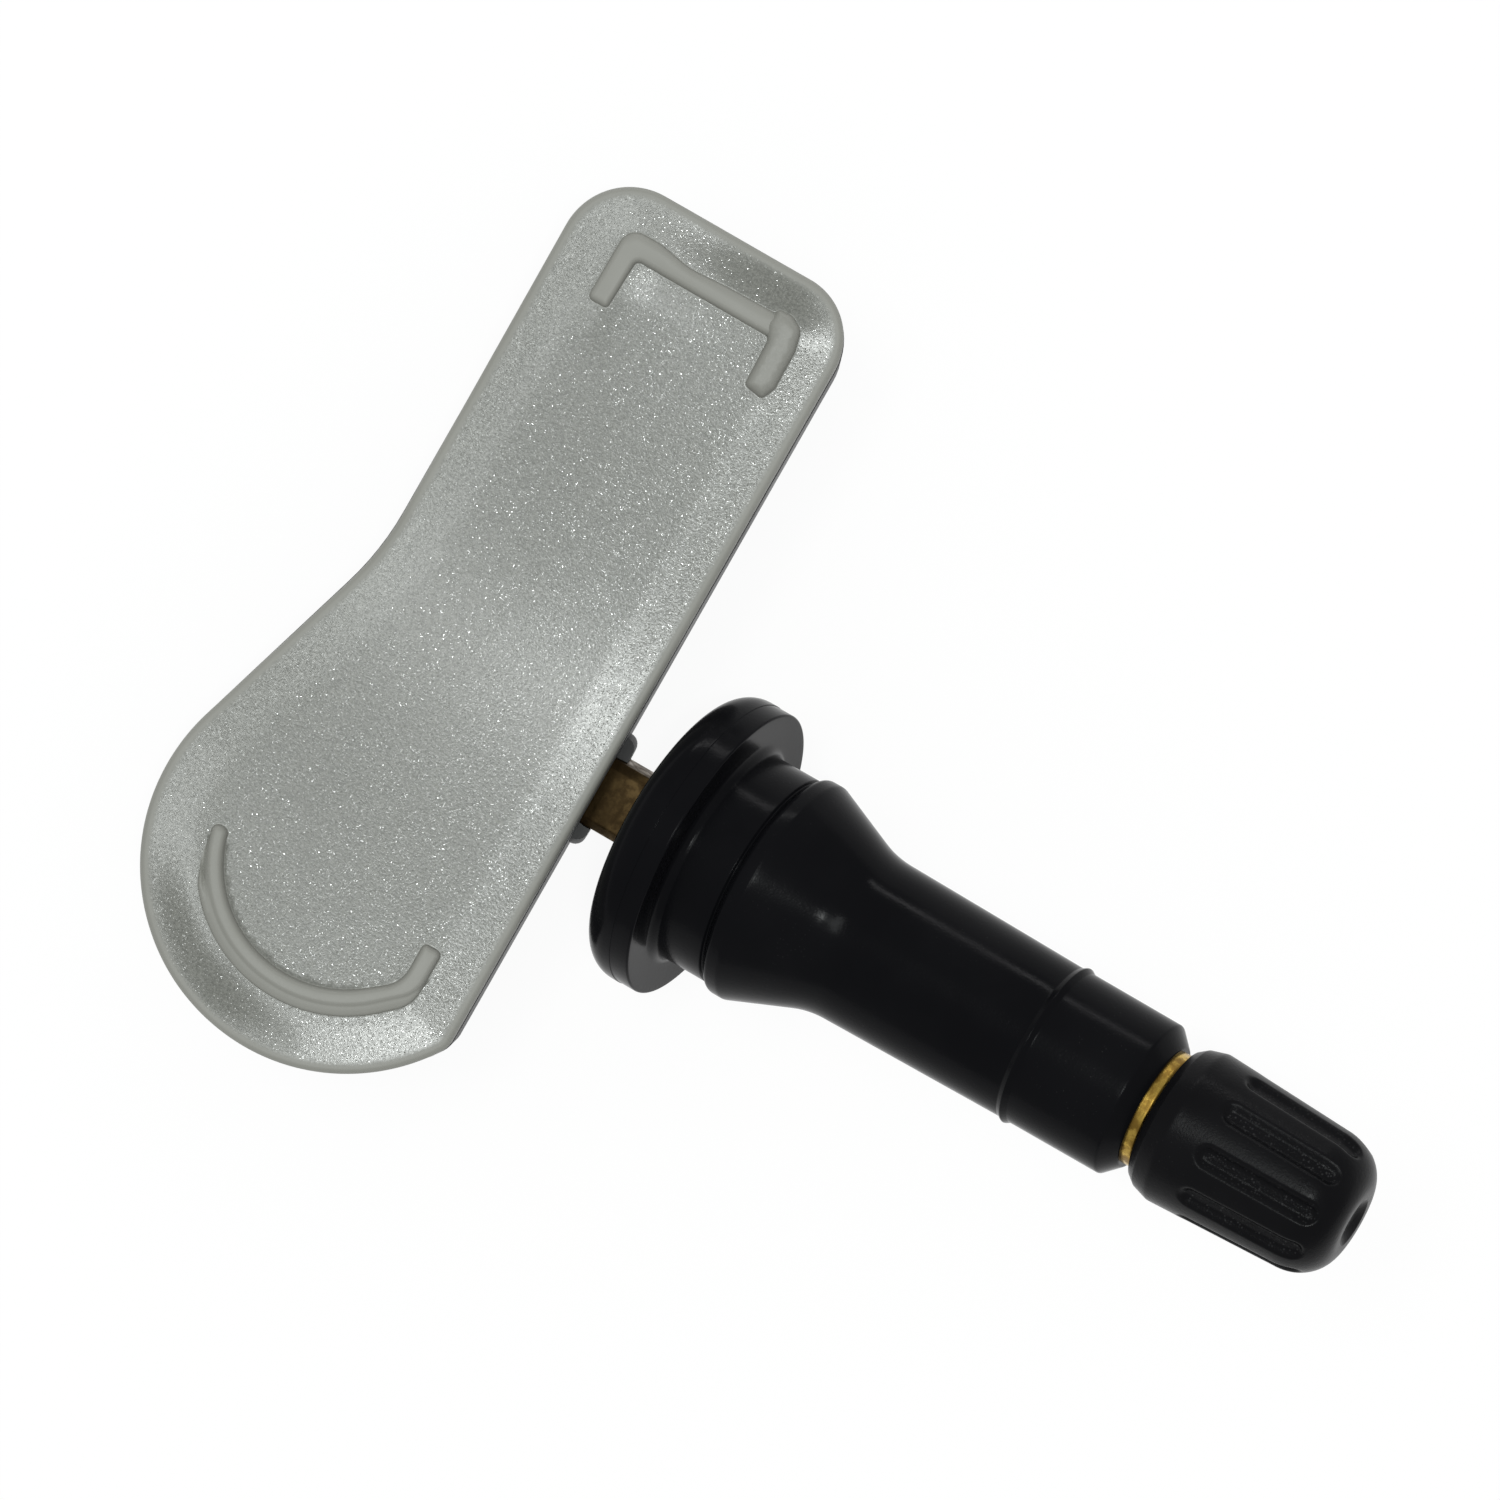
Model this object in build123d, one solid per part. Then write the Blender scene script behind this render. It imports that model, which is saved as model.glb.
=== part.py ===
from build123d import *
import math
import os

# Tyre pressure sensor on a snap-in rubber valve, lying with its lid up.
# The origin is on the valve's axis, in the face of the flange that seals on the wheel.
# X runs outward under the valve, Y towards the narrow end of the housing, Z up out of the lid.

os.makedirs("parts", exist_ok=True)

# Valve axis
stem_lean = 17.0
lean_cos = math.cos(math.radians(stem_lean))
lean_sin = math.sin(math.radians(stem_lean))

# Rubber valve body, by distance from the sealing face
flange_radius = 9.75
flange_back = -3.7
flange_back_round = 1.9
flange_edge_round = 0.12
flange_parting = -1.4
flange_parting_step = 0.04
seat_radius = 7.05
seat_fillet = 0.55
seat_end = 3.42
seat_groove_depth = 0.2
seat_groove_half = 0.13
bell_round = 0.45
bell_radius = 7.43
bell_start = 4.0
bell_end = 4.9
cone_end_radius = 5.36
cone_end = 9.9
cone_round = 6.0
rubber_radius_low = 5.12
rubber_radius_high = 5.08
ridge_at = 24.0
ridge_radius = 5.35
ridge_width = 0.7
rubber_end = 31.55
rubber_end_chamfer = 1.0

# Brass stem
neck_width = 4.55
neck_chamfer = 0.55
neck_turn = 7.0
neck_start = -10.2
neck_end = -3.0
stem_inner_radius = 3.2
stem_rib_radius = 3.55
stem_rib_width = 1.6
stem_rib_count = 4
thread_radius = 3.72
thread_start = 30.4
stem_end = 40.6
stem_end_chamfer = 0.4
screw_hole_radius = 1.2
screw_hole_end = -6.2
air_radius = 1.5
air_hole_radius = 0.75
air_hole_at = -5.6
core_bore_start = 21.0
core_bore_radius = 2.0
core_seat_low = 31.2
core_seat_high = 33.0
core_seat_radius = 2.4
core_thread_start = 34.6
core_thread_radius = 2.6

# Valve core
barrel_end = 40.0
barrel_thread_radius = 2.52
barrel_thread_start = 35.0
barrel_radius = 1.85
barrel_start = 31.0
barrel_bore_radius = 0.75
spring_room_radius = 1.5
spring_room_start = 33.2
key_flat_width = 2.6
key_flat_depth = 1.8
gasket_start = 31.4
gasket_end = 33.6
gasket_gap = 0.03
pin_radius = 0.45
pin_tip = 40.4
pin_tip_radius = 0.7
pin_collar_start = 38.1
pin_collar_end = 38.7
pin_collar_radius = 1.25
pin_foot_start = 28.5
pin_foot_end = 29.3
pin_foot_radius = 1.2
pin_seal_radius = 1.5
pin_seal_end = 30.95
spring_radius = 1.0
spring_wire = 0.2
spring_turns = 6
spring_wire_sides = 8
spring_gap = 0.02

# Dust cap
cap_base = 32.35
cap_length = 13.1
cap_base_radius = 5.0
cap_shoulder_radius = 4.6
cap_shoulder_drop = 3.0
cap_tip_radius = 2.0
cap_mouth_radius = 4.25
cap_chamfer_radius = 4.68
cap_chamfer_end = 0.55
cap_body_start = 1.6
cap_bore_radius = 3.88
cap_thread_end = 40.75
cap_seal_bore = 3.44
cap_bore_end = 42.0
cap_dimple_radius = 1.6
cap_dimple_depth = 0.55
flute_count = 10
flute_width = 1.6
flute_depth = 0.42
flute_low = 3.6
flute_high = 12.0
flute_phase = 11.0
liner_radius = 3.4
liner_start = 40.8
liner_end = 41.95

# Plan of the lid, measured from its straight edge beside the valve
lid_edge_x = -8.38
end_y = 33.17
narrow_width = 18.54
end_corner_valve_side = 4.0
end_corner_far_side = 4.4
lobe_radius = 12.63
lobe_from_edge = 10.77
lobe_y = -11.58
lobe_corner = 1.4
flare_angle = 17.2
flare_blend = 18.0

# Lid
lid_mid_top = 2.75
lid_thickness = 1.15
lid_hollow_radius = 210.0
lid_hollow_y = 4.0
lid_edge_chamfer = 0.5
lip_inset = 1.4
lip_width = 0.9
lip_depth = 0.8
rib_width = 1.5
rib_height = 0.8
rib_round = 0.35
bracket_outer_y = 30.52
bracket_leg_end_y = 25.57
bracket_far_inset = 3.25
bracket_valve_inset = 2.85
bracket_corner = 2.0
bracket_inner_corner = 0.5
pad_inset = 2.4
pad_width = 1.95
pad_height = 1.15
pad_corner = 0.9
lobe_rib_outer = 8.7
lobe_rib_outer_shift = -0.25
lobe_rib_bend = 2.0
terrace_outer = 9.2
terrace_shift = 0.2
terrace_height = 0.4
terrace_end_y = -15.2
lobe_rib_inner = 7.7
lobe_rib_inner_shift = 0.3
lobe_rib_inner_rise = 0.2
lobe_rib_leg_inset = 3.37
lobe_rib_leg_width = 1.25
lobe_rib_leg_length = 3.4
lobe_rib_end_y = -13.33

# Housing
housing_overlap = 0.06
wall = 1.25
floor_thickness = 1.3
bottom_round = 2.0
boss_radius = 3.85
boss_top = -0.9
boss_round = 0.7
boss_face = -7.55
boss_socket_gap = 0.05
screw_seat = -12.3
channel_radius = 2.5
channel_wall = 0.9
channel_length = 30.0
port_radius = 0.9
port_ring_radius = 2.4
port_ring_depth = 0.3
chimney_radius = 2.3

# Electronics
board_thickness = 0.8
board_gap = 0.3
board_start_y = 4.9
board_top_drop = 1.2
board_post_radius = 1.3
board_post_inset = 3.2
cell_radius = 10.0
cell_height = 5.0
cell_from_edge = 11.7
cell_y = -12.35
cell_gap = 0.12
cell_rim = 0.6
cell_step = 0.35
cell_post_radius = 1.4
cell_post_circle = 6.5
cell_post_count = 3
tab_width = 2.0
tab_side = 4.3
tab_thickness = 0.15
tab_reach = 3.0
tab_on_board = 1.6
chip_size = 7.0
chip_height = 2.2
chip_from_edge = 9.4
chip_y = 13.0
chip_port_radius = 0.8
seal_height = 1.0
seal_radius = 2.0
coil_length = 8.0
coil_width = 3.0
coil_height = 2.6
coil_flange = 1.0
coil_waist = 0.7
coil_y = 21.0
crystal_length = 3.2
crystal_width = 2.5
crystal_height = 0.8
crystal_y = 18.0
crystal_side = 5.2
capacitor_length = 1.6
capacitor_width = 0.8
capacitor_height = 0.8
capacitor_count = 5
capacitor_pitch = 1.7
capacitor_y = 8.0
capacitor_side = 0.6
antenna_wire = 0.4
antenna_inset = 2.6
antenna_drop = 3.0
antenna_start_y = 11.0
antenna_end_y = 27.2
antenna_bend = 1.5

# Screw
screw_shank_radius = 1.15
screw_head_radius = 2.2
screw_head_height = 1.6
screw_head_round = 0.4
screw_socket_radius = 1.05
screw_socket_lobe = 0.35
screw_socket_depth = 0.9
screw_tip_gap = 0.1

# Values that follow from the sizes above
stem_place = Location(
    Plane(origin=(0, 0, 0), x_dir=(-lean_sin, 0, lean_cos), z_dir=(lean_cos, 0, lean_sin))
)
flange_low_at = flange_back + flange_back_round
rest_z = flange_low_at * lean_sin - (flange_radius - flange_back_round) * lean_cos - flange_back_round
lid_base = lid_mid_top - lid_thickness
lobe_rib_leg_x = lid_edge_x - lobe_rib_leg_inset
lobe_x = lid_edge_x - lobe_from_edge
far_edge_x = lid_edge_x - narrow_width
cap_end = cap_base + cap_length
board_top = lid_base - board_top_drop
board_base = board_top - board_thickness
cavity_floor = rest_z + floor_thickness
cell_x = lid_edge_x - cell_from_edge
cell_base = board_top - cell_height
chip_x = lid_edge_x - chip_from_edge
chimney_top = board_base - chip_height - seal_height


def turned(points):
    """A solid of revolution about the valve axis from (radius, distance) points."""
    profile = make_face(Polyline(*[(r, 0, z) for r, z in points], close=True))
    return revolve(profile, Axis.Z)


def rod(radius, start, end):
    """A plain cylinder on the valve axis between two distances."""
    return Pos(0, 0, start) * Cylinder(radius, end - start, align=(Align.CENTER, Align.CENTER, Align.MIN))


def upright(radius, base, top, x, y):
    """A vertical cylinder in the housing's frame."""
    return Pos(x, y, base) * Cylinder(radius, top - base, align=(Align.CENTER, Align.CENTER, Align.MIN))


def block(x_size, y_size, z_size, x, y, base):
    """A box centred in plan, standing on its base height."""
    return Pos(x, y, base) * Box(x_size, y_size, z_size, align=(Align.CENTER, Align.CENTER, Align.MIN))


def rounded_at(sketch, point, radius):
    """Rounds the one corner of a plan that is nearest to a point."""
    corner = sketch.vertices().sort_by_distance((point[0], point[1], 0))[0]
    return fillet(corner, radius)


def lid_plan():
    """Straight valve side, narrow end, flared waist and round battery lobe."""
    flare = math.radians(flare_angle)
    lobe_meets_edge = lobe_y - math.sqrt(lobe_radius**2 - lobe_from_edge**2)
    touch = (lobe_x - lobe_radius * math.cos(flare), lobe_y + lobe_radius * math.sin(flare))
    waist = (far_edge_x, touch[1] + (far_edge_x - touch[0]) / math.tan(flare))
    valve_corner = (lid_edge_x, end_y)
    far_corner = (far_edge_x, end_y)
    lobe_end = (lid_edge_x, lobe_meets_edge)
    sides = Polyline(lobe_end, valve_corner, far_corner, waist, touch)
    lobe = ThreePointArc(touch, (lobe_x, lobe_y - lobe_radius), lobe_end)
    plan = make_face(Curve() + [sides, lobe])
    plan = rounded_at(plan, valve_corner, end_corner_valve_side)
    plan = rounded_at(plan, far_corner, end_corner_far_side)
    plan = rounded_at(plan, waist, flare_blend)
    return rounded_at(plan, lobe_end, lobe_corner)


def plan_inset(amount):
    """The lid's plan drawn in by an amount, or out by a negative one."""
    return offset(lid_plan(), amount=-amount, kind=Kind.ARC)


def wheel_drum(height):
    """The wide drum that hollows the lid lengthwise, at a height over the lid's surface."""
    radius = lid_hollow_radius - height
    drum = Cylinder(radius, 4 * narrow_width, rotation=(0, 90, 0))
    return Pos(lobe_x, lid_hollow_y, lid_mid_top + lid_hollow_radius) * drum


def prism(plan, base, top):
    """A plan pulled straight up between two heights."""
    return extrude(Pos(0, 0, base) * plan, amount=top - base, dir=(0, 0, 1))


def half_plan(y_low, y_high):
    """A wide plan strip between two Y values, to cut ribs to length."""
    return Pos(lobe_x, (y_low + y_high) / 2) * Rectangle(4 * narrow_width, y_high - y_low)


def bracket_plan():
    """The three-sided foot rib at the narrow end."""
    left = far_edge_x + bracket_far_inset
    right = lid_edge_x - bracket_valve_inset
    middle = (left + right) / 2
    height = 2 * (bracket_outer_y - bracket_leg_end_y)
    outer = RectangleRounded(right - left, height, bracket_corner)
    inner = RectangleRounded(right - left - 2 * rib_width, height - 2 * rib_width, bracket_inner_corner)
    ring = Pos(middle, bracket_leg_end_y) * (outer - inner)
    return ring & half_plan(bracket_leg_end_y, end_y)


def pad_plan():
    """The thicker leg of the bracket on the valve side."""
    length = bracket_outer_y - bracket_leg_end_y
    centre = (lid_edge_x - pad_inset - pad_width / 2, bracket_leg_end_y + length / 2)
    return Pos(*centre) * RectangleRounded(pad_width, length, pad_corner)


def lobe_ring(outer_radius, outer_shift, top_y):
    """A crescent round the lobe, cut off by the straight leg beside the valve and at a Y value."""
    outer = Pos(lobe_x + outer_shift, lobe_y) * Circle(outer_radius)
    inner = Pos(lobe_x - lobe_rib_inner_shift, lobe_y + lobe_rib_inner_rise) * Circle(lobe_rib_inner)
    ring = (outer - inner) & half_plan(lobe_y - lobe_radius, top_y)
    return ring - Pos(lobe_rib_leg_x + lobe_radius / 2, lobe_y) * Rectangle(lobe_radius, 3 * lobe_radius)


def circle_at(radius, centre_x, centre_y, x):
    """The lower point of a circle at one X value."""
    return (x, centre_y - math.sqrt(radius**2 - (x - centre_x) ** 2))


def lobe_rib_plan():
    """The C-shaped foot rib: a crescent that bends into a straight leg by the valve."""
    ring = lobe_ring(lobe_rib_outer, lobe_rib_outer_shift, lobe_rib_end_y)
    outer_x = lobe_x + lobe_rib_outer_shift
    leg_centre = (lobe_rib_leg_x - lobe_rib_leg_width / 2, lobe_rib_end_y - lobe_rib_leg_length / 2)
    leg = Pos(*leg_centre) * Rectangle(lobe_rib_leg_width, lobe_rib_leg_length)
    plan = ring + (leg & Pos(outer_x, lobe_y) * Circle(lobe_rib_outer))
    inner_centre = (lobe_x - lobe_rib_inner_shift, lobe_y + lobe_rib_inner_rise)
    outer_bend = circle_at(lobe_rib_outer, outer_x, lobe_y, lobe_rib_leg_x)
    inner_bend = circle_at(lobe_rib_inner, *inner_centre, lobe_rib_leg_x - lobe_rib_leg_width)
    plan = rounded_at(plan, outer_bend, lobe_rib_bend)
    return rounded_at(plan, inner_bend, lobe_rib_bend)


def terrace_plan():
    """The low step along the outer side of the C-shaped rib."""
    plan = lobe_ring(terrace_outer, terrace_shift, terrace_end_y)
    bend = circle_at(terrace_outer, lobe_x + terrace_shift, lobe_y, lobe_rib_leg_x)
    return rounded_at(plan, bend, lobe_rib_bend)


def raised(plan, height):
    """A rib on the hollowed lid, with an even height and rounded top edges."""
    blank = prism(plan, lid_base, lid_mid_top + 2 * lid_thickness + height)
    rib = blank - wheel_drum(height)
    crown = rib.faces().sort_by(Axis.Z)[-1]
    return fillet(crown.edges(), rib_round)


def make_lid():
    plate = prism(lid_plan(), lid_base, lid_mid_top + 2 * lid_thickness) - wheel_drum(0)
    crown = plate.faces().sort_by(Axis.Z)[-1]
    plate = chamfer(crown.edges(), lid_edge_chamfer)
    lip_plan = plan_inset(lip_inset) - plan_inset(lip_inset + lip_width)
    lip = prism(lip_plan, lid_base - lip_depth, lid_base)
    notch = stem_place * rod(boss_radius + board_gap, screw_seat - channel_wall, 0)
    ribs = raised(bracket_plan(), rib_height) + raised(pad_plan(), pad_height)
    ribs += raised(lobe_rib_plan(), rib_height) + raised(terrace_plan(), terrace_height)
    return plate + (lip - notch) + ribs


def channel_room():
    """The slanted space behind the boss for the screw head and its driver."""
    return stem_place * rod(channel_radius, screw_seat - channel_length, screw_seat)


def square_bar(width, corner_cut, start, end):
    """The square neck, its corners bevelled, turned a little about the valve axis."""
    side = Rotation(0, 0, neck_turn) * Rectangle(width, width)
    bar = extrude(Pos(0, 0, start) * side, amount=end - start, dir=(0, 0, 1))
    return chamfer(bar.edges().filter_by(Axis.Z), corner_cut)


def housing_posts():
    """Posts under the board and the cell, and the chimney of the air port."""
    posts = upright(chimney_radius, cavity_floor, chimney_top, chip_x, chip_y)
    for x in (far_edge_x + board_post_inset, lid_edge_x - board_post_inset):
        for y in (board_start_y + board_post_inset, end_y - board_post_inset):
            posts += upright(board_post_radius, cavity_floor, board_base, x, y)
    for turn in range(cell_post_count):
        angle = math.radians(90 + 360 * turn / cell_post_count)
        x = cell_x + cell_post_circle * math.cos(angle + math.pi)
        y = cell_y + cell_post_circle * math.sin(angle + math.pi)
        posts += upright(cell_post_radius, cavity_floor, cell_base - tab_thickness, x, y)
    return posts


def boss_front():
    """The part of the boss that stands out of the valve side, open above the brass neck."""
    room = block(boss_radius, 4 * boss_radius, 4 * boss_radius, boss_face - boss_radius / 2, 0, rest_z)
    front = (stem_place * rod(boss_radius, screw_seat, 0)) & room
    rim = front.faces().sort_by(Axis.X)[-1].edges()
    front = fillet(rim, boss_round)
    cover = block(4 * boss_radius, 4 * boss_radius, 4 * boss_radius, boss_face, 0, boss_top)
    return front - cover


def make_housing():
    outer = prism(plan_inset(-housing_overlap), rest_z, lid_base)
    base_edges = outer.faces().sort_by(Axis.Z)[0].edges()
    outer = fillet(base_edges, bottom_round)
    cavity = prism(plan_inset(wall), cavity_floor, lid_base)
    tube = stem_place * rod(channel_radius + channel_wall, screw_seat - channel_length, screw_seat)
    boss = stem_place * rod(boss_radius, screw_seat - channel_wall, 0)
    shell = outer - cavity
    shell += (tube + boss) & outer
    shell += boss_front()
    shell += housing_posts()
    shell -= channel_room()
    shell -= upright(cell_radius + cell_gap, cell_base - tab_thickness, lid_base, cell_x, cell_y)
    shell -= stem_place * square_bar(
        neck_width + 2 * boss_socket_gap, neck_chamfer, neck_start, 0
    )
    shell -= stem_place * rod(screw_hole_radius, screw_seat, neck_start)
    shell -= upright(port_radius, rest_z, chimney_top, chip_x, chip_y)
    return shell - upright(port_ring_radius, rest_z, rest_z + port_ring_depth, chip_x, chip_y)


def stem_bore():
    """Air passage, valve core bore and screw hole, as one turned cutter."""
    return turned(
        [
            (0, neck_start),
            (screw_hole_radius, neck_start),
            (screw_hole_radius, screw_hole_end),
            (air_radius, screw_hole_end),
            (air_radius, core_bore_start - core_bore_radius),
            (core_bore_radius, core_bore_start),
            (core_bore_radius, core_seat_low),
            (core_seat_radius, core_seat_high),
            (core_thread_radius, core_thread_start),
            (core_thread_radius, stem_end),
            (0, stem_end),
        ]
    )


def stem_body():
    """The stem without its bore: square neck, ribbed middle and thread cylinder."""
    body = square_bar(neck_width, neck_chamfer, neck_start, neck_end)
    body += rod(stem_inner_radius, neck_end, thread_start)
    rib_pitch = (thread_start - neck_end) / (stem_rib_count + 1)
    for index in range(stem_rib_count):
        at = neck_end + (index + 1) * rib_pitch
        body += rod(stem_rib_radius, at - stem_rib_width / 2, at + stem_rib_width / 2)
    thread = rod(thread_radius, thread_start, stem_end)
    tip_edges = thread.faces().sort_by(Axis.Z)[-1].edges()
    return body + chamfer(tip_edges, stem_end_chamfer)


def make_stem():
    side_hole = Pos(0, 0, air_hole_at) * Cylinder(
        air_hole_radius, neck_width, rotation=(0, 90, 0), align=(Align.CENTER, Align.CENTER, Align.MAX)
    )
    side_hole = Rotation(0, 0, neck_turn) * side_hole
    return stem_place * (stem_body() - stem_bore() - side_hole)


def make_rubber():
    parting_radius = flange_radius - flange_parting_step
    groove_radius = seat_radius - seat_groove_depth
    ridge_low = ridge_at - ridge_width / 2
    ridge_high = ridge_at + ridge_width / 2
    body = turned(
        [
            (0, flange_back),
            (flange_radius, flange_back),
            (flange_radius, flange_parting),
            (parting_radius, flange_parting),
            (parting_radius, 0),
            (seat_radius, 0),
            (seat_radius, seat_end),
            (groove_radius, seat_end + seat_groove_half),
            (seat_radius, seat_end + 2 * seat_groove_half),
            (bell_radius, bell_start),
            (bell_radius, bell_end),
            (cone_end_radius, cone_end),
            (rubber_radius_low, ridge_low),
            (ridge_radius, ridge_at),
            (rubber_radius_high, ridge_high),
            (rubber_radius_high, rubber_end - rubber_end_chamfer),
            (rubber_radius_high - rubber_end_chamfer, rubber_end),
            (0, rubber_end),
        ]
    )
    circles = body.edges().filter_by(GeomType.CIRCLE)
    back_edge = circles.sort_by_distance((flange_radius, 0, flange_back))[0]
    body = fillet(back_edge, flange_back_round)
    circles = body.edges().filter_by(GeomType.CIRCLE)
    front_edge = circles.sort_by_distance((parting_radius, 0, 0))[0]
    body = fillet(front_edge, flange_edge_round)
    for radius, at, round_radius in (
        (seat_radius, 0, seat_fillet),
        (bell_radius, bell_start, bell_round),
        (bell_radius, bell_end, bell_round),
        (cone_end_radius, cone_end, cone_round),
    ):
        circles = body.edges().filter_by(GeomType.CIRCLE)
        edge = circles.sort_by_distance((radius, 0, at))[0]
        body = fillet(edge, round_radius)
    return stem_place * (body - stem_body())


def make_screw():
    shank = rod(screw_shank_radius, screw_seat, screw_hole_end - screw_tip_gap)
    head = rod(screw_head_radius, screw_seat - screw_head_height, screw_seat)
    rear_edge = head.faces().sort_by(Axis.Z)[0].edges()
    head = fillet(rear_edge, screw_head_round)
    star = Circle(screw_socket_radius)
    for lobe in range(6):
        star += Rotation(0, 0, 60 * lobe) * (Pos(screw_socket_radius, 0) * Circle(screw_socket_lobe))
    socket_start = screw_seat - screw_head_height
    socket = extrude(Pos(0, 0, socket_start) * star, amount=screw_socket_depth, dir=(0, 0, 1))
    return stem_place * (shank + head - socket)


def make_core_barrel():
    barrel = rod(barrel_radius, barrel_start, barrel_thread_start)
    barrel += rod(barrel_thread_radius, barrel_thread_start, barrel_end)
    barrel -= rod(barrel_bore_radius, barrel_start, barrel_end)
    barrel -= rod(spring_room_radius, spring_room_start, barrel_end)
    flat_size = 2 * barrel_thread_radius
    for side in (-1, 1):
        offset_y = side * (key_flat_width / 2 + flat_size / 2)
        cutter = Box(flat_size, flat_size, key_flat_depth, align=(Align.CENTER, Align.CENTER, Align.MAX))
        barrel -= Pos(0, offset_y, barrel_end) * cutter
    return stem_place * barrel


def make_core_gasket():
    slope = (core_seat_radius - core_bore_radius) / (core_seat_high - core_seat_low)
    low_radius = core_bore_radius + slope * (gasket_start - core_seat_low) - gasket_gap
    seat_radius_high = core_seat_radius - gasket_gap
    ring = turned(
        [
            (barrel_radius, gasket_start),
            (low_radius, gasket_start),
            (seat_radius_high, core_seat_high),
            (seat_radius_high, gasket_end),
            (barrel_radius, gasket_end),
        ]
    )
    return stem_place * ring


def make_core_pin():
    pin = turned(
        [
            (0, pin_foot_start),
            (pin_foot_radius, pin_foot_start),
            (pin_foot_radius, pin_foot_end),
            (pin_radius, pin_foot_end),
            (pin_radius, pin_collar_start),
            (pin_collar_radius, pin_collar_start),
            (pin_collar_radius, pin_collar_end),
            (pin_radius, pin_collar_end),
            (pin_tip_radius, (pin_collar_end + pin_tip) / 2),
            (pin_tip_radius, pin_tip),
            (0, pin_tip),
        ]
    )
    return stem_place * pin


def make_core_pin_seal():
    seal = rod(pin_seal_radius, pin_foot_end, pin_seal_end) - rod(pin_radius, pin_foot_end, pin_seal_end)
    return stem_place * seal


def make_core_spring():
    half_wire = spring_wire / 2
    low = spring_room_start + half_wire + spring_gap
    height = pin_collar_start - spring_room_start - spring_wire - 2 * spring_gap
    coil = Helix(pitch=height / spring_turns, height=height, radius=spring_radius)
    start = Plane(origin=coil @ 0, z_dir=coil % 0)
    wire = sweep(start * RegularPolygon(half_wire, spring_wire_sides), path=coil)
    return stem_place * (Pos(0, 0, low) * wire)


def flute_cutter():
    """A round-ended groove cutter, laid along the cap's taper on its side facing local X."""
    length = flute_high - flute_low
    lean = math.degrees(math.atan2(cap_base_radius - cap_shoulder_radius, cap_length - cap_shoulder_drop))
    slot = SlotOverall(length, flute_width, rotation=90)
    face = Plane(origin=(0, 0, 0), x_dir=(0, 1, 0), z_dir=(1, 0, 0)) * slot
    cutter = extrude(face, amount=flute_width, dir=(1, 0, 0))
    middle = cap_base + (flute_low + flute_high) / 2
    share = (middle - cap_base) / (cap_length - cap_shoulder_drop)
    radius = cap_base_radius + share * (cap_shoulder_radius - cap_base_radius)
    return Pos(radius - flute_depth, 0, middle) * (Rotation(0, -lean, 0) * cutter)


def make_cap():
    shoulder = cap_end - cap_shoulder_drop
    crown = EllipticalCenterArc(
        (cap_tip_radius, shoulder),
        cap_shoulder_radius - cap_tip_radius,
        cap_shoulder_drop,
        start_angle=0,
        arc_size=90,
    )
    wall_line = Polyline(
        (0, cap_base),
        (cap_mouth_radius, cap_base),
        (cap_chamfer_radius, cap_base + cap_chamfer_end),
        (cap_base_radius, cap_base + cap_body_start),
        (cap_shoulder_radius, shoulder),
    )
    top_line = Polyline((cap_tip_radius, cap_end), (0, cap_end), (0, cap_base))
    profile = Plane.XZ * make_face(Curve() + [wall_line, crown, top_line])
    cap = revolve(profile, Axis.Z)
    sphere_radius = (cap_dimple_radius**2 + cap_dimple_depth**2) / (2 * cap_dimple_depth)
    cap -= Pos(0, 0, cap_end + sphere_radius - cap_dimple_depth) * Sphere(sphere_radius)
    cap -= rod(cap_bore_radius, cap_base, cap_thread_end)
    cap -= rod(cap_seal_bore, cap_base, cap_bore_end)
    cutter = flute_cutter()
    for index in range(flute_count):
        cap -= Rotation(0, 0, flute_phase + index * 360 / flute_count) * cutter
    return stem_place * cap


def make_cap_liner():
    return stem_place * rod(liner_radius, liner_start, liner_end)


def make_board():
    plan = plan_inset(wall + board_gap) & half_plan(board_start_y, end_y)
    return prism(plan, board_base, board_top)


def make_cell():
    can = upright(cell_radius, cell_base, board_top - cell_step, cell_x, cell_y)
    can = fillet(can.faces().sort_by(Axis.Z)[0].edges(), cell_rim)
    return can + upright(cell_radius - 2 * cell_rim, cell_base + cell_step, board_top, cell_x, cell_y)


def make_tab_top():
    start = cell_y - tab_reach
    end = board_start_y + tab_on_board
    return block(tab_width, end - start, tab_thickness, cell_x, (start + end) / 2, board_top)


def make_tab_bottom():
    """A strip under the cell that turns up beside it and runs out below the board."""
    x = cell_x - tab_side
    rise_y = cell_y + math.sqrt(cell_radius**2 - (tab_side - tab_width / 2) ** 2) + cell_gap
    start = cell_y - tab_reach
    end = board_start_y + tab_on_board
    low = cell_base - tab_thickness
    high = board_base - tab_thickness
    foot_length = rise_y + tab_thickness - start
    foot = block(tab_width, foot_length, tab_thickness, x, start + foot_length / 2, low)
    riser = block(tab_width, tab_thickness, high + tab_thickness - low, x, rise_y + tab_thickness / 2, low)
    arm = block(tab_width, end - rise_y, tab_thickness, x, (rise_y + end) / 2, high)
    return foot + riser + arm


def make_chip():
    base = board_base - chip_height
    chip = block(chip_size, chip_size, chip_height, chip_x, chip_y, base)
    return chip - upright(chip_port_radius, base, base + chip_height / 2, chip_x, chip_y)


def make_port_seal():
    ring = upright(seal_radius, chimney_top, chimney_top + seal_height, chip_x, chip_y)
    return ring - upright(chip_port_radius, chimney_top, chimney_top + seal_height, chip_x, chip_y)


def coil_middle(length):
    """The thin middle of the ferrite bar, which the winding goes round."""
    width = coil_width - 2 * coil_waist
    height = coil_height - 2 * coil_waist
    return block(length, width, height, chip_x, coil_y, board_base - coil_height + coil_waist)


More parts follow.
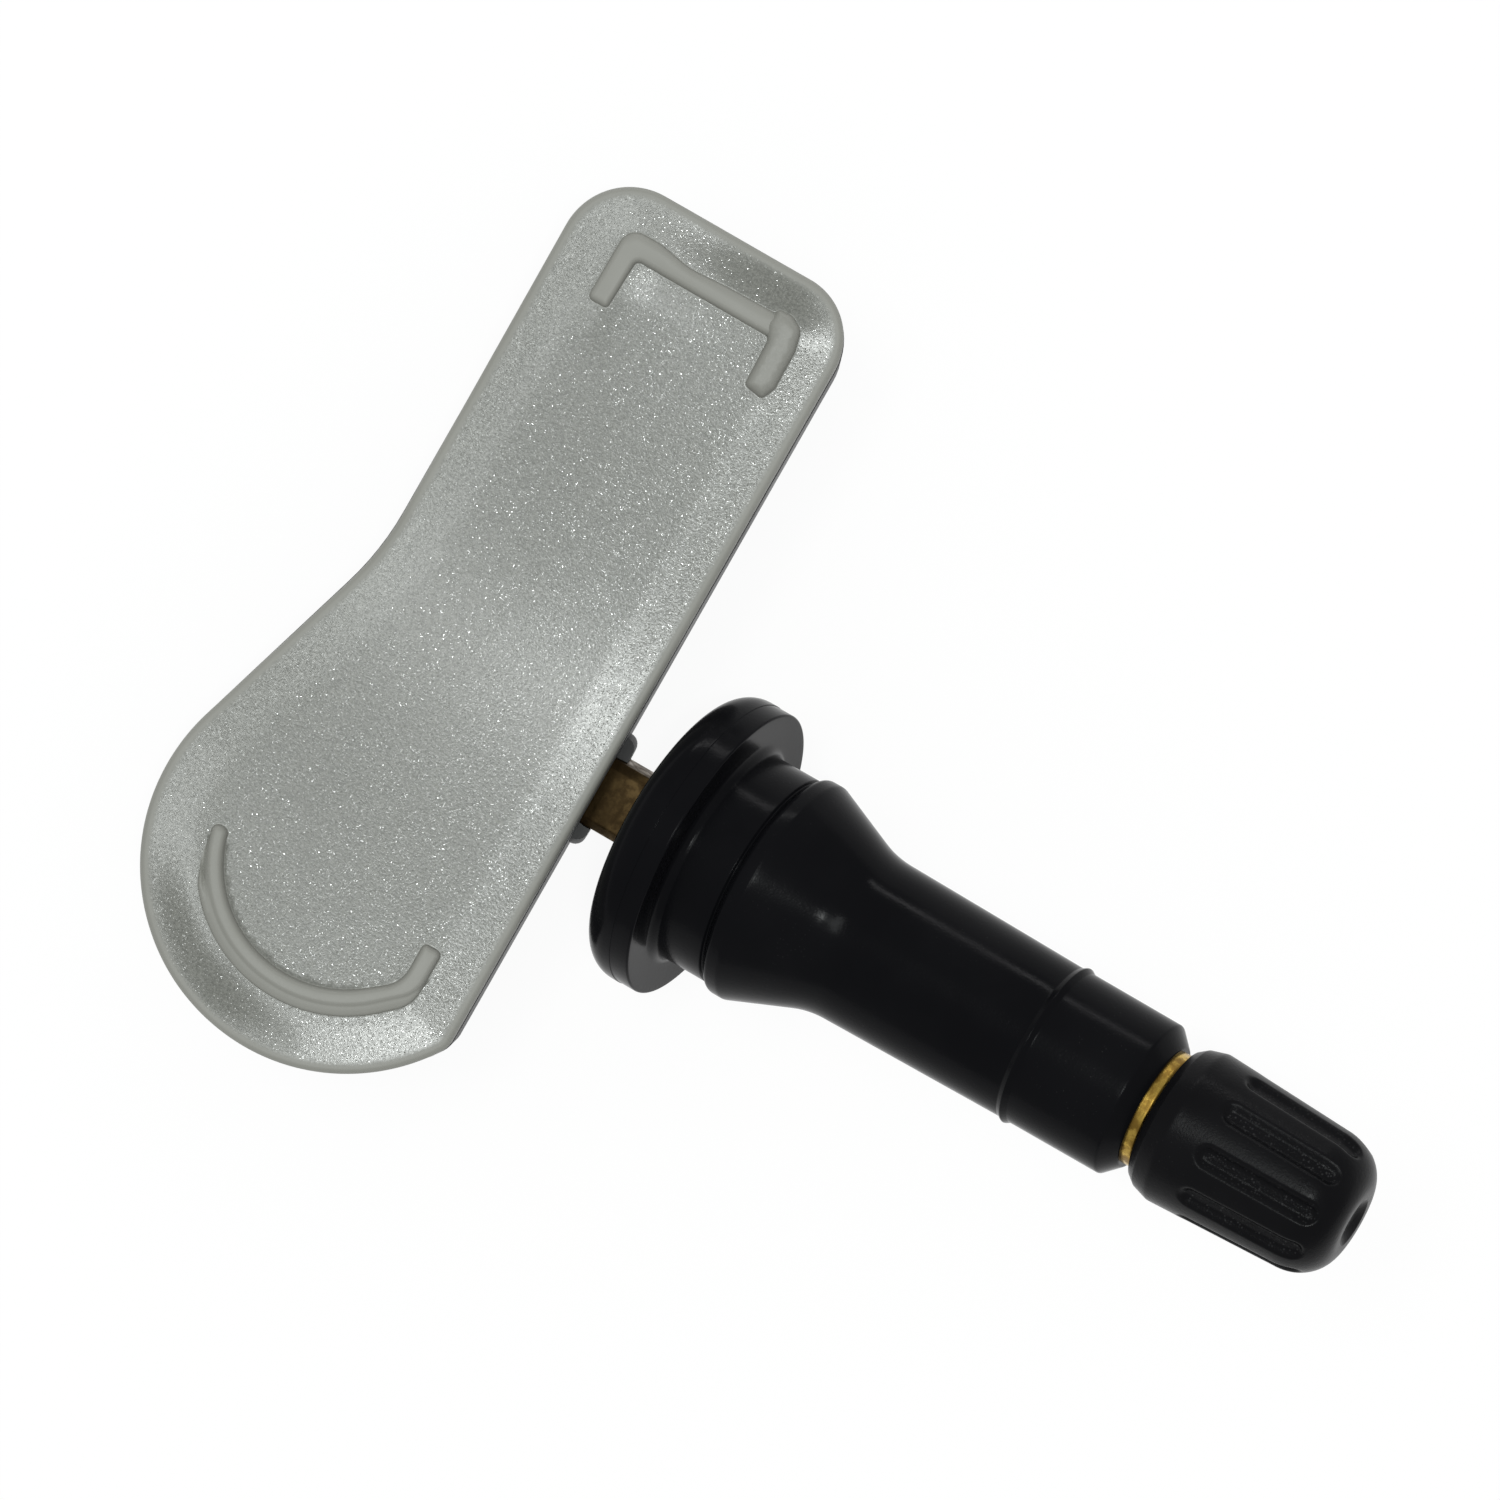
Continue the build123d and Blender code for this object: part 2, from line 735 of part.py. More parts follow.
def make_coil_core():
    base = board_base - coil_height
    core = block(coil_length, coil_width, coil_height, chip_x, coil_y, base)
    waist_length = coil_length - 2 * coil_flange
    waist = block(waist_length, coil_width, coil_height, chip_x, coil_y, base)
    return core - (waist - coil_middle(waist_length))


def make_coil_winding():
    base = board_base - coil_height
    length = coil_length - 2 * coil_flange
    trim = coil_waist / 3
    wound = block(length, coil_width - 2 * trim, coil_height - 2 * trim, chip_x, coil_y, base + trim)
    wound = fillet(wound.edges().filter_by(Axis.X), coil_waist / 2)
    return wound - coil_middle(length)


def make_crystal():
    base = board_base - crystal_height
    can = block(crystal_width, crystal_length, crystal_height, chip_x - crystal_side, crystal_y, base)
    return chamfer(can.faces().sort_by(Axis.Z)[0].edges(), crystal_height / 4)


def make_capacitors():
    """Equal chip capacitors in one row beside the cell's tabs."""
    base = board_base - capacitor_height
    first = chip_x + capacitor_side - capacitor_pitch * (capacitor_count - 1) / 2
    places = [first + i * capacitor_pitch for i in range(capacitor_count)]
    row = [
        block(capacitor_width, capacitor_length, capacitor_height, x, capacitor_y, base)
        for x in places
    ]
    return Compound(children=row)


def make_antenna():
    """A wire loop round the narrow end, on two feet that meet the board."""
    left = far_edge_x + antenna_inset
    right = lid_edge_x - antenna_inset
    low = board_base - antenna_drop
    path = FilletPolyline(
        (right, antenna_start_y, board_base),
        (right, antenna_start_y, low),
        (right, antenna_end_y, low),
        (left, antenna_end_y, low),
        (left, antenna_start_y, low),
        (left, antenna_start_y, board_base),
        radius=antenna_bend,
    )
    start = Plane(origin=path @ 0, z_dir=path % 0)
    return sweep(start * Circle(antenna_wire), path=path)


makers = {
    "sensor_housing": make_housing,
    "lid": make_lid,
    "valve_stem": make_stem,
    "valve_rubber": make_rubber,
    "stem_screw": make_screw,
    "core_barrel": make_core_barrel,
    "core_gasket": make_core_gasket,
    "core_pin": make_core_pin,
    "core_pin_seal": make_core_pin_seal,
    "core_spring": make_core_spring,
    "valve_cap": make_cap,
    "cap_liner": make_cap_liner,
    "circuit_board": make_board,
    "battery": make_cell,
    "battery_tab_top": make_tab_top,
    "battery_tab_bottom": make_tab_bottom,
    "pressure_chip": make_chip,
    "port_seal": make_port_seal,
    "coil_core": make_coil_core,
    "coil_winding": make_coil_winding,
    "crystal": make_crystal,
    "chip_capacitors": make_capacitors,
    "antenna": make_antenna,
}

for name, maker in makers.items():
    export_step(maker(), f"parts/{name}.step")
    print("made", name)
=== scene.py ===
# %% [markdown]
# # A tyre pressure sensor on a snap-in valve
# The object is a pale grey sensor housing that lives inside a wheel, with a rubber valve that
# snaps through the rim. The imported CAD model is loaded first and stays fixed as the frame. Pieces
# that need finer form than the solids, such as the lid's moulded ribs, the rubber, the thread and
# the fluted cap, are made again here in the same place, and every piece gets a procedural finish.

# %% Load the CAD frame
import math
from functools import partialmethod

import bpy
import numpy as np
from mathutils import Matrix, Vector
from mathutils.geometry import delaunay_2d_cdt


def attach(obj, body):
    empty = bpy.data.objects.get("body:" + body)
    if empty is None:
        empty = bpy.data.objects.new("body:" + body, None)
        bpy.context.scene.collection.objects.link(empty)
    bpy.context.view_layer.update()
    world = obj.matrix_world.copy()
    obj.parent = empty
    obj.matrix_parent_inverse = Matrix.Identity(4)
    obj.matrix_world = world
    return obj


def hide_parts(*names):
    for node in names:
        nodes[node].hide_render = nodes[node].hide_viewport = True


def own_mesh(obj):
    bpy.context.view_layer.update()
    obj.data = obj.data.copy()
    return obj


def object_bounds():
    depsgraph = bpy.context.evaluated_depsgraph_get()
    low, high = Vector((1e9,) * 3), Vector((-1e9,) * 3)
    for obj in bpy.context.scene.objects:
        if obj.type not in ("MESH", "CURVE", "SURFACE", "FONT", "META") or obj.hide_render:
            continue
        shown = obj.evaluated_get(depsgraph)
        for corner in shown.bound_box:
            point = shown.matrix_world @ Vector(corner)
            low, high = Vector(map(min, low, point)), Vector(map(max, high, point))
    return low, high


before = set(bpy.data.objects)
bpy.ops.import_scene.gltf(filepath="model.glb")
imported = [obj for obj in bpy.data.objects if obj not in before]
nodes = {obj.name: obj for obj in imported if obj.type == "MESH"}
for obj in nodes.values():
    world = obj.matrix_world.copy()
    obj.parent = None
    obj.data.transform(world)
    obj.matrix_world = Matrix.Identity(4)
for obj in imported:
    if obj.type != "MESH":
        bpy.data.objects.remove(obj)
cad_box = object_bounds()
scene = bpy.context.scene
print("CAD nodes:", len(nodes), "box in mm:", [round(1000 * v, 2) for v in cad_box[1] - cad_box[0]])

# %% [markdown]
# ## The valve's own axis
# The valve leans up out of the housing, so everything turned on a lathe is drawn about an upright
# axis and then laid along the leaning one with a single matrix. Its third column is the axis, and
# its first column points up, towards the camera. Sizes are written in millimetres.

# %% The leaning axis
MM = 0.001
FULL_TURN = 2 * math.pi
STEM_LEAN = math.radians(17.0)
lean_cos, lean_sin = math.cos(STEM_LEAN), math.sin(STEM_LEAN)
valve_axis = Matrix((
    (-lean_sin, 0.0, lean_cos, 0.0),
    (0.0, -1.0, 0.0, 0.0),
    (lean_cos, 0.0, lean_sin, 0.0),
    (0.0, 0.0, 0.0, 1.0),
))
print("valve axis:", [round(v, 3) for v in valve_axis.col[2][:3]])

# %% [markdown]
# ## Wiring nodes in code
# Shader trees and geometry trees are wired the same way. A term stands for one output of a node, and
# each step of a formula written with terms adds a Math node. One helper adds any node and fills its
# inputs, and the rest stand for what comes up again: trees with named sockets, ramps and noise.

# %% Terms for formulas
class Term:
    """One output of a node in a tree, to be used in formulas."""

    def __init__(self, tree, socket):
        self.tree, self.socket = tree, socket

    def math(self, operation, *others):
        """One Math node that starts with this term."""
        return add_node(self.tree, "ShaderNodeMath", dict(enumerate((self, *others))), operation=operation)[0]

    def vector(self, operation, inputs=None):
        """One Vector Math node that starts with this term."""
        return add_node(self.tree, "ShaderNodeVectorMath", {0: self, **(inputs or {})}, operation=operation)[0]

    def __rsub__(self, other):
        return add_node(self.tree, "ShaderNodeMath", {0: other, 1: self}, operation="SUBTRACT")[0]

    __add__ = partialmethod(math, "ADD")
    __sub__ = partialmethod(math, "SUBTRACT")
    __mul__ = partialmethod(math, "MULTIPLY")
    __truediv__ = partialmethod(math, "DIVIDE")


# %% Helpers for node trees
def terms(tree, outputs):
    """A node's outputs as terms, by name and by number."""
    return {key: Term(tree, socket) for i, socket in enumerate(outputs) for key in (i, socket.name)}


def fill(tree, sockets, values):
    """Fills inputs, by name or number, with plain values or with links from terms."""
    for name, value in values.items():
        socket = sockets[name]
        if isinstance(value, Term):
            tree.links.new(value.socket, socket)
        else:
            socket.default_value = (*value, 1.0) if socket.type == "RGBA" else value


def add_node(tree, kind, inputs=None, **settings):
    """Adds a node, sets its options, fills its inputs and returns its outputs as terms."""
    made = tree.nodes.new(kind)
    for name, value in settings.items():
        setattr(made, name, value)
    fill(tree, made.inputs, inputs or {})
    return terms(tree, made.outputs)


def new_tree(name, family, inputs, outputs):
    """A tree, its inputs as terms and its outputs; a socket is given by its number, or else by its kind."""
    tree = bpy.data.node_groups.new(name, family + "NodeTree")
    for in_out, sockets in (("INPUT", inputs), ("OUTPUT", outputs)):
        for label, value in sockets.items():
            plain = not isinstance(value, str)
            kind = type(value).__name__.title() if plain else value
            socket = tree.interface.new_socket(label, in_out=in_out, socket_type="NodeSocket" + kind)
            if plain:
                socket.default_value = value
    given = terms(tree, tree.nodes.new("NodeGroupInput").outputs)
    return tree, given, tree.nodes.new("NodeGroupOutput").inputs


# %% Ramps and textures
def ramp(value, low, high, to_low=0.0, to_high=1.0, smooth=True):
    """A Map Range node, with soft ends unless told otherwise."""
    kind = "SMOOTHSTEP" if smooth else "LINEAR"
    limits = {"Value": value, "From Min": low, "From Max": high, "To Min": to_low, "To Max": to_high}
    return add_node(value.tree, "ShaderNodeMapRange", limits, interpolation_type=kind)["Result"]


def noise(place, scale, detail, roughness=0.5):
    """The value of a Noise Texture."""
    sizes = {"Vector": place, "Scale": scale, "Detail": detail, "Roughness": roughness}
    return add_node(place.tree, "ShaderNodeTexNoise", sizes)[0]


def cells(place, scale):
    """The outputs of a Voronoi Texture with fully scattered cells."""
    return add_node(place.tree, "ShaderNodeTexVoronoi", {"Vector": place, "Scale": scale, "Randomness": 1.0})


# %% [markdown]
# ## Finishes that several materials share
# Moulded plastic and rubber carry the fine grain of the steel mould, and anything that has been
# handled gets cloudy patches and a little dust. Both are node groups, built once and placed in
# each material with its own values. A group only gives out values that change over the surface.

# %% Mould grain and handling groups
FINE_GRAIN, FINE_SHARE, SPECK_GRAIN, DUST_GRAIN = 2.3, 0.45, 1.4, 24.0


def make_grain_group():
    """Spark-eroded mould grain: small rounded pits and bumps, and specks that lean at random and glint."""
    inputs = {"Place": "Vector", "Scale": 6000.0, "Speck Share": 0.3}
    outputs = {"Height": "Float", "Speck": "Float", "Lean": "Vector"}
    group, given, out = new_tree("mould_grain", "Shader", inputs, outputs)
    place, scale = given["Place"], given["Scale"]
    coarse, fine = noise(place, scale, 2.0, 0.65), noise(place, scale * FINE_GRAIN, 1.0)
    specks = cells(place, scale * SPECK_GRAIN)
    chance = add_node(group, "ShaderNodeSeparateColor", {"Color": specks["Color"]})[0]
    edge = 1.0 - given["Speck Share"]
    speck = ramp(chance, edge, edge + 0.04) * ramp(specks["Distance"], 0.48, 0.2)
    lean = specks["Color"].vector("SUBTRACT", {1: (0.5, 0.5, 0.5)}).vector("SCALE", {"Scale": speck})
    height = fine.math("MULTIPLY_ADD", FINE_SHARE, coarse)
    fill(group, out, {"Height": height, "Speck": speck, "Lean": lean})
    return group


def make_handling_group():
    """Cloudy patches from handling and a thin uneven dust."""
    inputs, outputs = {"Place": "Vector", "Scale": 150.0}, {"Cloud": "Float", "Dust": "Float"}
    group, given, out = new_tree("handling", "Shader", inputs, outputs)
    cloud = noise(given["Place"], given["Scale"], 4.0, 0.55)
    motes = cells(given["Place"], given["Scale"] * DUST_GRAIN)
    dust = ramp(motes["Distance"], 0.16, 0.04) * ramp(cloud, 0.45, 0.75)
    fill(group, out, {"Cloud": ramp(cloud, 0.3, 0.7), "Dust": dust})
    return group


grain_group = make_grain_group()
handling_group = make_handling_group()
print("shared finish groups:", grain_group.name, handling_group.name)

# %% Helpers for materials
def new_material(name):
    """A material with its tree, its Principled shader's inputs and Object coordinates."""
    material = bpy.data.materials.new(name)
    material.use_nodes = True
    tree = material.node_tree
    shader = tree.nodes["Principled BSDF"]
    place = add_node(tree, "ShaderNodeTexCoord")["Object"]
    return material, tree, shader.inputs, place


def use_group(group, place, **values):
    """Places a shared group in a material and returns its outputs."""
    inputs = {name.replace("_", " ").title(): value for name, value in values.items()}
    return add_node(place.tree, "ShaderNodeGroup", {"Place": place, **inputs}, node_tree=group)


def mix_colour(share, first, second):
    """Mixes two colours by a share from 0 to 1; a colour is three numbers or a term."""
    colours = {0: share, 6: first, 7: second}
    return add_node(share.tree, "ShaderNodeMix", colours, data_type="RGBA", blend_type="MIX")[2]


def bump(height, strength, depth):
    """A Bump node for relief of a real depth in millimetres."""
    sizes = {"Height": height, "Strength": strength, "Distance": depth * MM}
    return add_node(height.tree, "ShaderNodeBump", sizes)[0]


# %% [markdown]
# ## The lid's plastic
# The lid is a greenish mid grey with the sparkle of a spark-eroded mould: dense, polished specks
# that each lean a little another way and so glint in turn, and that are also painted lighter in the
# colour as painted glints. Its foot ribs and a narrow band round its edge are smooth, with only a
# trace of grain on the C and the pad. The lid's mesh carries an attribute called textured, 1 on the
# grain and 0 on the smooth parts, and the material reads it.

# %% Lid plastic
SMOOTH_ROUGH, SPECK_POLISH, SPECK_LEAN = 0.5, -0.135, 0.27
PAINTED_GLINT_SHARE, RELIEF_LEFT = 0.22, 0.06


def make_lid_plastic():
    """Grey plastic that is smooth or grained by the textured attribute."""
    material, tree, shader, place = new_material("lid_plastic_grain")
    grain = use_group(grain_group, place, scale=5700.0, speck_share=0.65)
    height, speck = grain["Height"], grain["Speck"]
    cloud = use_group(handling_group, place, scale=110.0)["Cloud"]
    textured = add_node(tree, "ShaderNodeAttribute", attribute_name="textured")["Fac"]
    smooth_grey = mix_colour(cloud, (0.286, 0.288, 0.260), (0.312, 0.314, 0.285))
    grain_grey = mix_colour(ramp(height, 0.5, 0.95), (0.136, 0.140, 0.124), (0.235, 0.240, 0.216))
    # Painted glints: the specks are also painted lighter in the colour, the same from every side.
    grain_with_painted_glints = mix_colour(speck * PAINTED_GLINT_SHARE, grain_grey, (0.54, 0.55, 0.53))
    rough = speck.math("MULTIPLY_ADD", SPECK_POLISH, ramp(height, 0.5, 1.0, 0.25, 0.20))
    relief = height * textured.math("MULTIPLY_ADD", 1 - RELIEF_LEFT, RELIEF_LEFT)
    leaning = grain["Lean"].vector("SCALE", {"Scale": textured * SPECK_LEAN})
    fill(tree, shader, {
        "Base Color": mix_colour(textured, smooth_grey, grain_with_painted_glints),
        "Roughness": (rough - SMOOTH_ROUGH).math("MULTIPLY_ADD", textured, SMOOTH_ROUGH),
        "Normal": bump(relief, 0.8, 0.009).vector("ADD", {1: leaning}).vector("NORMALIZE"),
    })
    return material


lid_plastic = make_lid_plastic()
print("made", lid_plastic.name)

# %% [markdown]
# ## Rubber, cap plastic and housing plastic
# The valve's rubber is nearly black and only shows through its highlights, so its colour varies
# very little and its roughness a bit more. The cap is a charcoal plastic with a dry grain, deeper in
# the flutes, where its specks are painted lighter as painted glints. The tub under the lid is a plain dark moulding.

# %% Dark materials
DUST_COLOUR, PAINTED_GLINT_COLOUR = (0.10, 0.10, 0.098), (0.05, 0.05, 0.052)
DUST_SHARE, MARKED_RELIEF, MARKED_GLINT_PAINT = 0.25, 1.6, 0.5


def make_dark_plastic(name, dark, light, scale, depth, rough, shine=0.35, attribute=None):
    """A dark moulded material: cloudy tone, fine grain and a few motes; an attribute marks a rougher part, whose
    specks get painted glints.
    """
    material, tree, shader, place = new_material(name)
    grain = use_group(grain_group, place, scale=scale, speck_share=0.3)
    handled = use_group(handling_group, place, scale=130.0)
    height, cloud = grain["Height"], handled["Cloud"]
    colour = mix_colour(handled["Dust"] * DUST_SHARE, mix_colour(cloud, dark, light), DUST_COLOUR)
    if attribute:
        mark = add_node(tree, "ShaderNodeAttribute", attribute_name=attribute)["Fac"]
        height = height * mark.math("MULTIPLY_ADD", MARKED_RELIEF, 1.0)
        # Painted glints: on the marked part the grain's specks are painted lighter.
        colour = mix_colour(grain["Speck"] * (mark * MARKED_GLINT_PAINT), colour, PAINTED_GLINT_COLOUR)
    fill(tree, shader, {
        "Base Color": colour, "Roughness": ramp(cloud, 0.0, 1.0, *rough, smooth=False),
        "Normal": bump(height, 0.5, depth), "Specular IOR Level": shine,
    })
    return material


valve_rubber_finish = make_dark_plastic(
    "valve_rubber_finish", (0.0044, 0.0045, 0.0055), (0.0060, 0.0061, 0.0072),
    scale=3600.0, depth=0.012, rough=(0.16, 0.23), shine=0.042)
cap_plastic = make_dark_plastic(
    "cap_plastic_dry", (0.0042, 0.0042, 0.0050), (0.0062, 0.0062, 0.0071),
    scale=4200.0, depth=0.024, rough=(0.25, 0.32), shine=0.075, attribute="flute")
tub_plastic = make_dark_plastic(
    "tub_plastic", (0.016, 0.016, 0.017), (0.024, 0.024, 0.025),
    scale=4500.0, depth=0.014, rough=(0.42, 0.52))
seal_rubber_finish = make_dark_plastic(
    "seal_rubber_finish", (0.012, 0.011, 0.010), (0.020, 0.018, 0.017),
    scale=3500.0, depth=0.008, rough=(0.5, 0.6))
chip_plastic_finish = make_dark_plastic(
    "chip_plastic_finish", (0.020, 0.020, 0.021), (0.030, 0.030, 0.031),
    scale=9000.0, depth=0.008, rough=(0.45, 0.55))
ferrite_finish = make_dark_plastic(
    "ferrite_finish", (0.060, 0.056, 0.054), (0.090, 0.085, 0.080),
    scale=6000.0, depth=0.012, rough=(0.4, 0.6))
print("made six dark materials")

# %% [markdown]
# ## Metals
# The brass was turned, so it carries fine rings round the valve axis. A Mapping node turns the
# Object coordinates until one of them runs along that axis. The square neck by the housing has
# dulled to brown, and the thread under the cap has stayed bright, so tarnish is a value here.

# %% Metals
RING_STRETCH, PATCH_SCALE, DULL_ROUGH = (0.03, 0.03, 1.0), 900.0, 0.22


def make_metal(name, clean, dull, dull_share, rough, ring_scale, ring_depth):
    """Turned metal with rings along the valve axis and dull patches."""
    material, tree, shader, place = new_material(name)
    upright = {"Vector": place, "Rotation": (0.0, math.pi / 2 - STEM_LEAN, 0.0)}
    along = add_node(tree, "ShaderNodeMapping", upright)[0]
    stretched = add_node(tree, "ShaderNodeMapping", {"Vector": along, "Scale": RING_STRETCH})[0]
    rings = noise(stretched, ring_scale, 3.0)
    dulled = ramp(noise(place, PATCH_SCALE, 5.0, 0.65), 0.62 - dull_share * 0.5, 0.72 - dull_share * 0.3)
    grooved = ramp(rings, 0.3, 0.7, rough - 0.05, rough + 0.08)
    fill(tree, shader, {
        "Base Color": mix_colour(dulled, clean, dull), "Metallic": 1.0,
        "Roughness": dulled.math("MULTIPLY_ADD", DULL_ROUGH, grooved), "Normal": bump(rings, 0.5, ring_depth),
    })
    return material


bright_brass = make_metal(
    "bright_brass", (0.56, 0.38, 0.080), (0.24, 0.145, 0.03),
    dull_share=0.55, rough=0.20, ring_scale=9000.0, ring_depth=0.006)
dull_brass = make_metal(
    "dull_brass", (0.124, 0.082, 0.035), (0.073, 0.047, 0.021),
    dull_share=0.5, rough=0.36, ring_scale=5000.0, ring_depth=0.008)
plain_steel = make_metal(
    "plain_steel", (0.62, 0.62, 0.61), (0.42, 0.41, 0.40),
    dull_share=0.2, rough=0.28, ring_scale=7000.0, ring_depth=0.005)
print("made three metals")

# %% [markdown]
# ## Circuit board and winding
# These sit inside, out of sight, but they are separate pieces, so they are finished too. The board
# is a green laminate whose copper shows as slightly raised lighter tracks, made from a brick
# pattern. The winding is lacquered copper wire, drawn as fine bands round the ferrite bar.

# %% Board and winding
def make_board_laminate():
    """Green laminate with lighter raised tracks."""
    material, tree, shader, place = new_material("board_laminate_green")
    sizes = {"Vector": place, "Scale": 400.0, "Mortar Size": 0.03, "Mortar Smooth": 0.2}
    track = add_node(tree, "ShaderNodeTexBrick", sizes)["Fac"]
    cloud = use_group(handling_group, place, scale=200.0)["Cloud"]
    green = mix_colour(cloud, (0.010, 0.075, 0.030), (0.016, 0.10, 0.042))
    fill(tree, shader, {
        "Base Color": mix_colour(track, green, (0.045, 0.17, 0.07)),
        "Roughness": ramp(cloud, 0.0, 1.0, 0.28, 0.40), "Normal": bump(track, 0.6, 0.035),
    })
    return material


def make_winding_copper():
    """Copper wire in fine bands, with painted shade between the turns."""
    material, tree, shader, place = new_material("winding_copper")
    sizes = {"Vector": place, "Scale": 2600.0, "Distortion": 0.4}
    band = add_node(tree, "ShaderNodeTexWave", sizes, wave_type="BANDS", bands_direction="X")["Fac"]
    # The dark part of each band is painted shade between the turns.
    fill(tree, shader, {
        "Base Color": mix_colour(band, (0.16, 0.045, 0.015), (0.62, 0.26, 0.10)), "Metallic": 0.9,
        "Roughness": ramp(band, 0.0, 1.0, 0.45, 0.25), "Normal": bump(band, 0.8, 0.05),
    })
    return material


board_laminate = make_board_laminate()
winding_copper = make_winding_copper()
print("made", board_laminate.name, "and", winding_copper.name)

# %% [markdown]
# ## The pieces that keep their CAD shape
# The tub and most of the inside are fine enough as solids. They stay in the frame as they are, and
# each only gets its finish.

# %% Finish the CAD nodes that stay
kept_finishes = {
    tub_plastic: ["sensor_housing"],
    plain_steel: ["stem_screw", "battery", "battery_tab_top", "battery_tab_bottom", "crystal"],
    bright_brass: ["core_barrel", "core_pin", "antenna"],
    seal_rubber_finish: ["core_gasket", "core_pin_seal", "cap_liner", "port_seal"],
    board_laminate: ["circuit_board"],
    chip_plastic_finish: ["pressure_chip"],
    ferrite_finish: ["coil_core", "chip_capacitors"],
    winding_copper: ["coil_winding"],
}
for finish, names in kept_finishes.items():
    for name in names:
        nodes[name].material_slots[0].material = finish
print("finished", sum(len(names) for names in kept_finishes.values()), "CAD nodes in place")

# %% [markdown]
# ## Rounded outlines
# Turned profiles and plans are both drawn as corners with a radius each. The helper swings a short
# arc into every corner and puts points along the straight runs too, because long thin faces beside
# a small arc shade badly.

# %% Rounded loops
ARC_DEGREES = 7
LONE_SHARE, EVEN_SHARE = 0.9, 0.48


def arc_points(corner, before, after, radius, room, step):
    """Points of the arc that rounds one corner; room is the share of each side that it may take."""
    a = np.subtract(before, corner)
    b = np.subtract(after, corner)
    a_length, b_length = np.linalg.norm(a), np.linalg.norm(b)
    a, b = a / a_length, b / b_length
    half = math.acos(max(-1.0, min(1.0, float(a @ b)))) / 2
    run = min(radius / math.tan(half), room[0] * a_length, room[1] * b_length)
    radius = run * math.tan(half)
    centre = np.asarray(corner) + (a + b) / np.linalg.norm(a + b) * radius / math.sin(half)
    start = np.asarray(corner) + a * run - centre
    end = np.asarray(corner) + b * run - centre
    turn = math.pi - 2 * half
    steps = max(2, math.ceil(math.degrees(turn) / ARC_DEGREES), math.ceil(turn * radius / step))
    shares = [i / steps for i in range(steps + 1)]
    return [centre + (math.sin((1 - k) * turn) * start + math.sin(k * turn) * end) / math.sin(turn) for k in shares]


def rounded_loop(corners, step, closed=True):
    """Corners of (x, y, radius) become a dense list of points; a neighbour with a radius keeps half of its side."""
    count = len(corners)
    dense = []
    for i, (x, y, radius) in enumerate(corners):
        inner = closed or 0 < i < count - 1
        if radius > 0 and inner:
            before, after = corners[i - 1], corners[(i + 1) % count]
            room = [LONE_SHARE if other[2] < radius / 8 else EVEN_SHARE for other in (before, after)]
            dense.append(arc_points((x, y), before[:2], after[:2], radius, room, step))
        else:
            dense.append([np.array((x, y), float)])
    points = []
    for i, piece in enumerate(dense):
        points.extend(piece)
        if i == count - 1 and not closed:
            break
        start, end = piece[-1], dense[(i + 1) % count][0]
        cuts = int(np.linalg.norm(end - start) // step)
        points.extend(start + (end - start) * (k / (cuts + 1)) for k in range(1, cuts + 1))
    return np.array(points)


print("a rounded square has", len(rounded_loop([(0, 0, 1), (4, 0, 1), (4, 4, 1), (0, 4, 1)], 0.5)), "points")

# %% [markdown]
# ## A lathe in Geometry Nodes
# Rubber, brass and cap are all turned shapes, so one node tree makes them all. It takes a profile
# curve, lays a grid round the axis, and reads each row's radius and height from the profile. Two
# named sets of inputs add what repeats: round-ended flutes pressed into the wall, and a screw
# thread that follows the angle. The curve points' radius tells it which rows are the outer wall.
# A tree runs as a modifier on a blank object, and only the plain mesh that it makes is kept.

# %% Helpers for objects and geometry trees
def add_object(name, data):
    """A new object in the scene, at the origin and unturned."""
    made = bpy.data.objects.new(name, data)
    scene.collection.objects.link(made)
    return made


def finished_mesh(source):
    """The mesh that an object's modifiers make of it."""
    return bpy.data.meshes.new_from_object(source.evaluated_get(bpy.context.evaluated_depsgraph_get()))


def hand_out(tree, out, shape, finish):
    """Smooths a shape, gives it its finish and hands it out of the tree."""
    for kind, extra in (("SetShadeSmooth", {}), ("RealizeInstances", {}), ("SetMaterial", {"Material": finish})):
        shape = add_node(tree, "GeometryNode" + kind, {"Geometry": shape, **extra})[0]
    fill(tree, out, {"Geometry": shape})


def run_tree(blank, tree, values):
    """The mesh that a geometry tree makes of a blank object, which is used up."""
    keys = {item.name: item.identifier for item in tree.interface.items_tree if item.in_out == "INPUT"}
    maker = blank.modifiers.new(tree.name, "NODES")
    maker.node_group = tree
    for label, value in values.items():
        maker[keys[label]] = value
    mesh = finished_mesh(blank)
    bpy.data.objects.remove(blank)
    return mesh


# %% Flutes and thread
THREAD_FADE = 0.0004
KEEP_POSITIVE = 100.0


def read_row(profile, row, kind, value):
    """Reads a value from the profile's point that a row of the grid stands for."""
    inputs = {"Geometry": profile, "Value": value, "Index": row}
    return add_node(profile.tree, "GeometryNodeSampleIndex", inputs, data_type=kind, domain="POINT")[0]


def flute_floor(given, angle, radius, height):
    """1 on the floor of the nearest flute and 0 outside it, by the distance to its centre line."""
    count, half = given["Flute Count"], given["Flute Width"] * 0.5
    turns = (angle - given["Flute Phase"]) / FULL_TURN
    cell = (turns * count + (KEEP_POSITIVE + 0.5)).math("FRACT") - 0.5
    aside = cell * (radius * FULL_TURN / count)
    below = given["Flute Start"] + half - height
    above = height - (given["Flute End"] - half)
    beyond = below.math("MAXIMUM", above).math("MAXIMUM", 0.0)
    reach = (aside * aside + beyond * beyond).math("SQRT")
    return ramp(reach / half, 1.0, 0.3)


